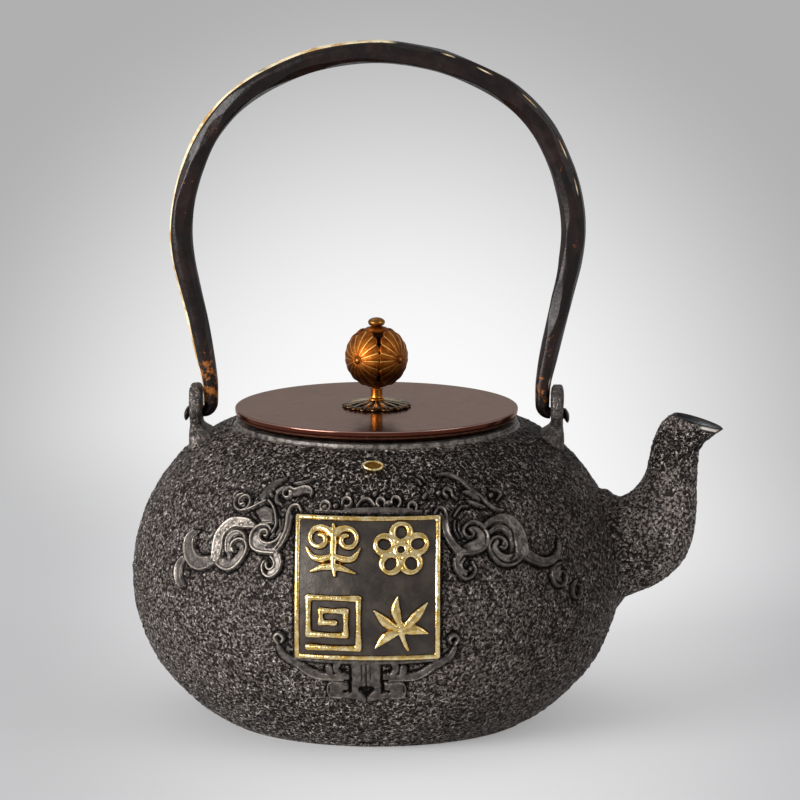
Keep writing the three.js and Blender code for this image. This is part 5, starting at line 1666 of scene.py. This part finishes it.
def mixed(f, factor, first, second):
    """Shader that passes from one node to another as the factor goes from 0 to 1."""
    mix = f.node("ShaderNodeMixShader", {0: factor})
    f.feed(mix.inputs[1], first.outputs[0])
    f.feed(mix.inputs[2], second.outputs[0])
    return mix


def world(back):
    """Pale surroundings: a soft glow behind the kettle as seen by the camera, and even light on the kettle."""
    made = bpy.data.worlds.new("studio")
    bpy.context.scene.world = made
    made.use_nodes = True
    f = Finish("studio", made.node_tree, "Generated")
    upwards = Vector((0, 0, 1)) - back * back.z
    middle = (-back - upwards.normalized() * math.tan(math.radians(GLOW_DROP))).normalized()
    toward = f.vector("DOT_PRODUCT", f.place, tuple(middle))["Value"]
    tint = f.blend(glow_share(f, f.math("ARCCOSINE", toward, 0.0)), SURROUNDING, GLOW)
    seen = f.node("ShaderNodeBackground", {"Color": tint})
    lighting = f.node("ShaderNodeBackground", {"Color": "#d8d8da", "Strength": WORLD_LIGHT})
    path = f.node("ShaderNodeLightPath")
    rays = f.plus(path.outputs["Is Camera Ray"], path.outputs["Is Glossy Ray"])
    rays = f.plus(rays, path.outputs["Is Transmission Ray"])
    f.node("ShaderNodeOutputWorld", {"Surface": mixed(f, rays, lighting, seen).outputs[0]})


def floor():
    """Round pale floor that carries on the glow and fades into the surroundings."""
    turn = full_turn(FLOOR_COLUMNS)
    radii = np.linspace(0.01, 1, FLOOR_RINGS) ** 1.5 * FLOOR_RADIUS
    points = np.concatenate([polar(r, turn, -0.02) for r in radii])
    faces = grid_faces(FLOOR_RINGS, FLOOR_COLUMNS)[:, ::-1].tolist() + [list(range(FLOOR_COLUMNS))]
    made = built("floor", points * MM, faces)
    f = Finish("floor")
    fade = f.remap(f.vector("LENGTH", f.place)["Value"], 0.24, 0.6)
    # Distances from the middle of the glow as the camera sees them, foreshortened towards the back.
    behind = f.vector("ADD", f.place, (-FLOOR_GLOW_SIDE * MM, -FLOOR_GLOW_BEHIND * MM, 0))[0]
    flat = f.vector("MULTIPLY", behind, (1, math.sin(ELEVATION), 0))[0]
    angle = f.times(f.vector("LENGTH", flat)["Value"], 1 / (DISTANCE * MM))
    tint = f.blend(glow_share(f, angle), FLOOR_FAR, FLOOR_NEAR)
    lit = f.node("ShaderNodeBsdfDiffuse", {"Color": tint})
    # Painted light: the floor gives off light of its own, mixed in at FLOOR_OWN_LIGHT, which softens the shadow
    # on it.
    own = f.node("ShaderNodeEmission", {"Color": tint, "Strength": 0.88})
    faded = mixed(f, fade, mixed(f, FLOOR_OWN_LIGHT, lit, own), f.node("ShaderNodeBsdfTransparent"))
    f.node("ShaderNodeOutputMaterial", {"Surface": faded.outputs[0]})
    made.data.materials.append(f.material)


def build_kettle():
    """Everything that stays with the belly."""
    iron = cast_iron()
    ring_iron = plain_iron("ring_iron", "#35302e", "#857e76", 0.36, 0.2, size=2.6)
    inside_iron = plain_iron("inside_iron", "#3a3533", "#4a423d", 0.62, 0.2, 0.3)
    panel_iron = plain_iron("panel_iron", "#332d29", "#484039", 0.4, 0.06)
    gold = gilt()
    foot, inner_foot = spout_shell(iron)
    belly_skin("belly_front", 0, iron, foot)
    belly_skin("belly_back", 1, iron, foot)
    belly_lining(inside_iron, inner_foot)
    mouth_ring(ring_iron)
    front_reliefs(iron)
    plaque_panel(panel_iron)
    plaque_rim(gold)
    for make in (cloud_ornament, blossom_ornament, fret_ornament, leaf_ornament, seal_boss):
        make(gold)
    for side in (-1, 1):
        ear(side, iron)


def build_lid():
    """The lid with its knob, rod, washers and nut."""
    brown = lid_bronze()
    lid_top(brown)
    flange = band(FLANGE_INNER, FLANGE_OUTER, FLANGE_BOTTOM, LID_UNDERSIDE + 0.1)
    ring_piece("lid_skirt", flange, 0.6, FLANGE_COLUMNS, brown, "lid_flange")
    washer = band(PIN_HOLE, UNDER_WASHER_RADIUS, UNDER_WASHER_BOTTOM, LID_UNDERSIDE - 0.02)
    ring_piece("under_washer", washer, 0.25, WASHER_COLUMNS, brown, "knob_under_washer")
    petal_washer(antique_bronze())
    neck(bright_bronze("bright_bronze", "#a86020", "#cc8a38"))
    flower_ball(knob_gold())
    bud_and_rod(bright_bronze("dull_bronze", "#7a4a1e", "#b27c3c"))
    hex_nut(brown)


bpy.context.scene.view_settings.view_transform = "Standard"
view_back = camera()
build_kettle()
bail_bar(lacquer())
build_lid()
floor()
world(view_back)
softbox("key", (-1.4, -1.15, 0.5), (1.2, 1.0), 44)
softbox("fill", (1.5, -0.8, 0.9), (0.9, 0.9), 5)
softbox("top", (-0.5, 0.5, 1.9), (1.6, 1.6), 3)
